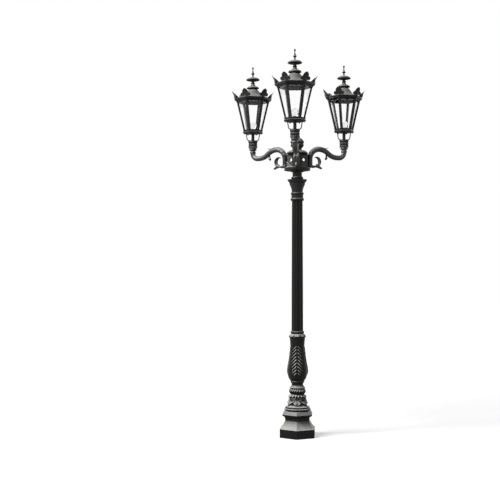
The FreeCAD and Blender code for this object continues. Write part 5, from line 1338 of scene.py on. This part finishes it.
@dataclass(frozen=True)
class Cowl:
    """Umbrella with a drooping edge under a waisted cone and a ring."""

    foot: float
    top: float

    def build(self, side: str, material: bpy.types.Material) -> None:
        """Make the cowl of one lantern.

        Args:
            side: which arm it stands on.
            material: finish of the piece.
        """
        f, t = self.foot, self.top
        profile = [(5.3, f), (32.0, f), (32.0, f + 15.5),
                   [(33.0, f + 16.5), (45.0, f + 15.5), (53.0, f + 11.0), (57.0, f + 7.0)],
                   [(57.0, f + 7.0), (59.8, f + 8.0), (59.6, f + 13.0)],
                   [(59.6, f + 13.0), (53.0, f + 21.0), (42.0, f + 27.5), (30.0, f + 31.0)],
                   [(27.5, f + 32.0), (22.0, f + 41.0), (17.0, f + 50.0), (15.0, f + 54.0)],
                   [(15.0, f + 54.5), (19.0, f + 56.5), (20.5, f + 60.5), (19.0, f + 64.5), (15.0, f + 67.0)],
                   [(14.0, f + 68.0), (12.5, f + 72.0), (14.5, t)], (5.3, t)]
        turned(profile, 96, 1.6).lantern_piece("umbrella_cowl", material, side, "roof", ["cowl"])


@dataclass(frozen=True)
class DomeSkin:
    """Full-bellied skin over the roof's dome."""

    top: float
    wall: float = 3.0
    drops: Outline = (                                          # radius, depth below the top
        (106.0, 87.2), (98.0, 75.0), (87.0, 60.0), (76.0, 45.0), (67.0, 31.0), (58.5, 18.0), (50.0, 8.5),
        (41.0, 2.6), (33.6, 0.4))

    def build(self, side: str, material: bpy.types.Material) -> None:
        """Make the dome's skin of one lantern.

        Args:
            side: which arm it stands on.
            material: finish of the piece.
        """
        outer = [(radius, self.top - drop) for radius, drop in self.drops]
        inner = [(radius - self.wall, self.top - max(drop, 3.2) - 0.3) for radius, drop in self.drops[::-1]]
        profile = [outer, (31.5, self.top - 0.4), inner]
        turned(profile, 96, 2.5).lantern_piece("dome_skin", material, side, "roof")


@dataclass(frozen=True)
class Cradle:
    """Plate on the fitter with two bowed rods that carry the lantern's floor."""

    foot: float
    top: float
    rod: float = 4.6
    bore: float = 15.6
    plate: float = 6.0
    plate_radius: float = 45.0
    knots: Outline = (                                          # reach, height over the plate's foot
        (38.0, 9.0), (47.0, 10.5), (53.5, 15.0), (57.0, 23.0), (59.0, 34.0), (61.0, 48.0), (63.5, 61.0))

    def build(self, side: str, turn: float, material: bpy.types.Material) -> None:
        """Make the cradle of one lantern, its rods turned from the lantern's own sides.

        Args:
            side: which arm it stands on.
            turn: degrees that the rods are turned by.
            material: finish of the piece.
        """
        low, high = self.foot, self.foot + self.plate
        surface = turned([(self.bore, low), (self.plate_radius, low), (self.plate_radius, high),
                          (self.bore, high)], 64, 40.0)
        run = self.top - self.foot
        path = spline(np.array(self.knots + ((65.0, run - 7.0), (65.4, run))), 40) + [0.0, self.foot]
        rod = sweep(path, np.full((len(path), 2), self.rod), oval, 20)
        for way in (90.0, -90.0):
            surface.capped(rod @ rotation(way + turn).T)
        surface.lantern_piece("cradle_rods", material, side, "lantern", ["cradle"])


# ---- Palmettes --------------------------------------------------------------------------------------
@dataclass(frozen=True)
class Palmette:
    """Fan of pointed lobes over two volutes, leaning outwards from the roof's corner."""

    foot: float
    reach: float = 173.0
    tip_reach: float = 204.0
    volute_spot: tuple[float, float] = (36.5, 14.5)
    height: float = 68.0
    thickness: float = 6.0
    heart_level: float = 19.0
    half_outline: Outline = (
        (0.0, 68.0), (6.5, 67.2), (11.5, 64.5), (12.8, 62.8), (17.0, 61.0), (20.5, 57.0), (21.5, 54.8),
        (25.0, 52.0), (27.2, 47.5), (27.8, 44.8), (30.4, 41.0), (31.2, 36.5), (30.6, 33.0), (32.5, 30.5),
        (39.0, 30.5), (46.0, 26.5), (50.5, 19.5), (51.0, 11.0), (47.0, 3.0), (40.0, 0.0), (20.0, 0.0),
        (0.0, 0.0))
    gusset_outline: Outline = (                                 # reach, height over the foot
        (133.0, 0.0), (172.0, 0.0), (178.0, 24.0), (186.0, 47.0), (176.0, 44.0), (163.0, 33.0),
        (150.0, 20.0), (139.0, 11.0), (133.0, 7.0))

    def shape(self) -> Array:
        """Shell points: rings from the heart out to the edge, then back behind.

        Returns:
            Rings of the shell.
        """
        half = np.array(self.half_outline)
        outline = np.concatenate([half, (half * [-1, 1])[-2:0:-1]])
        closed = np.concatenate([outline, outline[:1]])
        spots = np.linspace(0, len(outline), 240, endpoint=False)
        edge = np.stack([np.interp(spots, np.arange(len(closed)), closed[:, k]) for k in range(2)], axis=1)
        heart = np.array([0.0, self.heart_level])
        share = np.linspace(0.02, 1.0, 22)[:, None, None]
        flat = heart + share * (edge - heart)[None]
        x, z = flat[..., 0], flat[..., 1]
        spread = np.arctan2(x, np.maximum(z - 12.0, 0.5))
        ribs = 1.3 * np.cos(spread * 11.0) * step(4.0, 20.0, np.hypot(x, z - 16.0)) * (z > 24.0)
        from_eye = np.hypot(np.abs(x) - self.volute_spot[0], z - self.volute_spot[1])
        volute = bump(from_eye - 8.0, 2.4) * 2.4 + bump(from_eye, 3.0) * 3.0
        heart_boss = 2.5 * bump(np.hypot(x, z - self.heart_level), 6.0)
        thinning = 1 - 0.75 * share[..., 0] ** 6
        half_depth = 0.5 * self.thickness * thinning + 0.6 * (ribs + volute + heart_boss)
        lean = (self.tip_reach - self.reach) * (np.clip(z, 0, None) / self.height) ** 1.6
        shells = [np.stack([self.reach + lean + way * half_depth, x, z + self.foot], axis=-1)
                  for way in (1, -1)]
        return np.concatenate([shells[0], shells[1][::-1]], axis=0)

    def gusset(self) -> Array:
        """Wedge that stays the plate from behind, as rings across its thickness.

        Returns:
            Rings of the wedge.
        """
        knots = np.array(self.gusset_outline)
        heart = knots.mean(axis=0)
        rings = []
        for across, size in ((-6.5, 0.72), (-5.0, 1.0), (5.0, 1.0), (6.5, 0.72)):
            ring = heart + (knots - heart) * size
            rings.append(np.stack([ring[:, 0], np.full(len(ring), across), ring[:, 1] + self.foot], axis=1))
        return np.stack(rings)

    def build(self, side: str, material: bpy.types.Material) -> None:
        """Make the six palmettes of one lantern.

        Args:
            side: which arm it stands on.
            material: finish of the piece.
        """
        surface = Surface()
        shell, gusset = self.shape(), self.gusset()
        for corner in range(6):
            turn = rotation(30.0 + 60.0 * corner)
            surface.capped(shell @ turn.T)
            surface.capped(gusset @ turn.T)
        surface.lantern_piece("palmette_set", material, side, "roof", ["palmettes"])


def span(node: str) -> tuple[float, float]:
    """Foot and top of a CAD node at rest, in millimetres."""
    low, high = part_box(node)
    return low.z / MM, high.z / MM


def build_pieces(materials: Materials) -> None:
    """Make every richer piece in the place of its CAD solid.

    Args:
        materials: every finish of the post.
    """
    flange, vase_side, fitter_seat, spire = 46.0, 408.0, 65.5, 145.0
    foot, top = span("leaf_bell")
    LeafBell(foot, foot + flange, top).build(materials.paint)
    RopeRing(*span("rope_ring")).build(materials.paint)
    foot, top = span("frond_vase")
    FrondVase(foot, foot + vase_side, top).build(materials.paint)
    for side in SIDES:
        Arm().build(side, materials.arm_paint)
        finish = materials.roof_paint
        Palmette(span(f"{side}_palmettes")[0]).build(side, finish)
        foot, top = span(f"{side}_fitter")
        Fitter(foot, foot + fitter_seat, top).build(side, finish)
        Cradle(foot + fitter_seat, top).build(side, CRADLE_TURN[side], finish)
        Cowl(*span(f"{side}_cowl")).build(side, finish)
        DomeSkin(span(f"{side}_roof")[1]).build(side, finish)
        foot, top = span(f"{side}_finial")
        Finial(foot, top - spire).build(side, finish)


# ---- Whole post --------------------------------------------------------------------------------
def main() -> None:
    """Build every sub-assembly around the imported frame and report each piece."""
    logging.basicConfig(level=logging.INFO, format="%(name)s: %(message)s")
    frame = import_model()
    materials = Materials()
    dress_frame(frame, materials)
    build_pieces(materials)
    Studio().build()


if __name__ == "__main__":
    main()
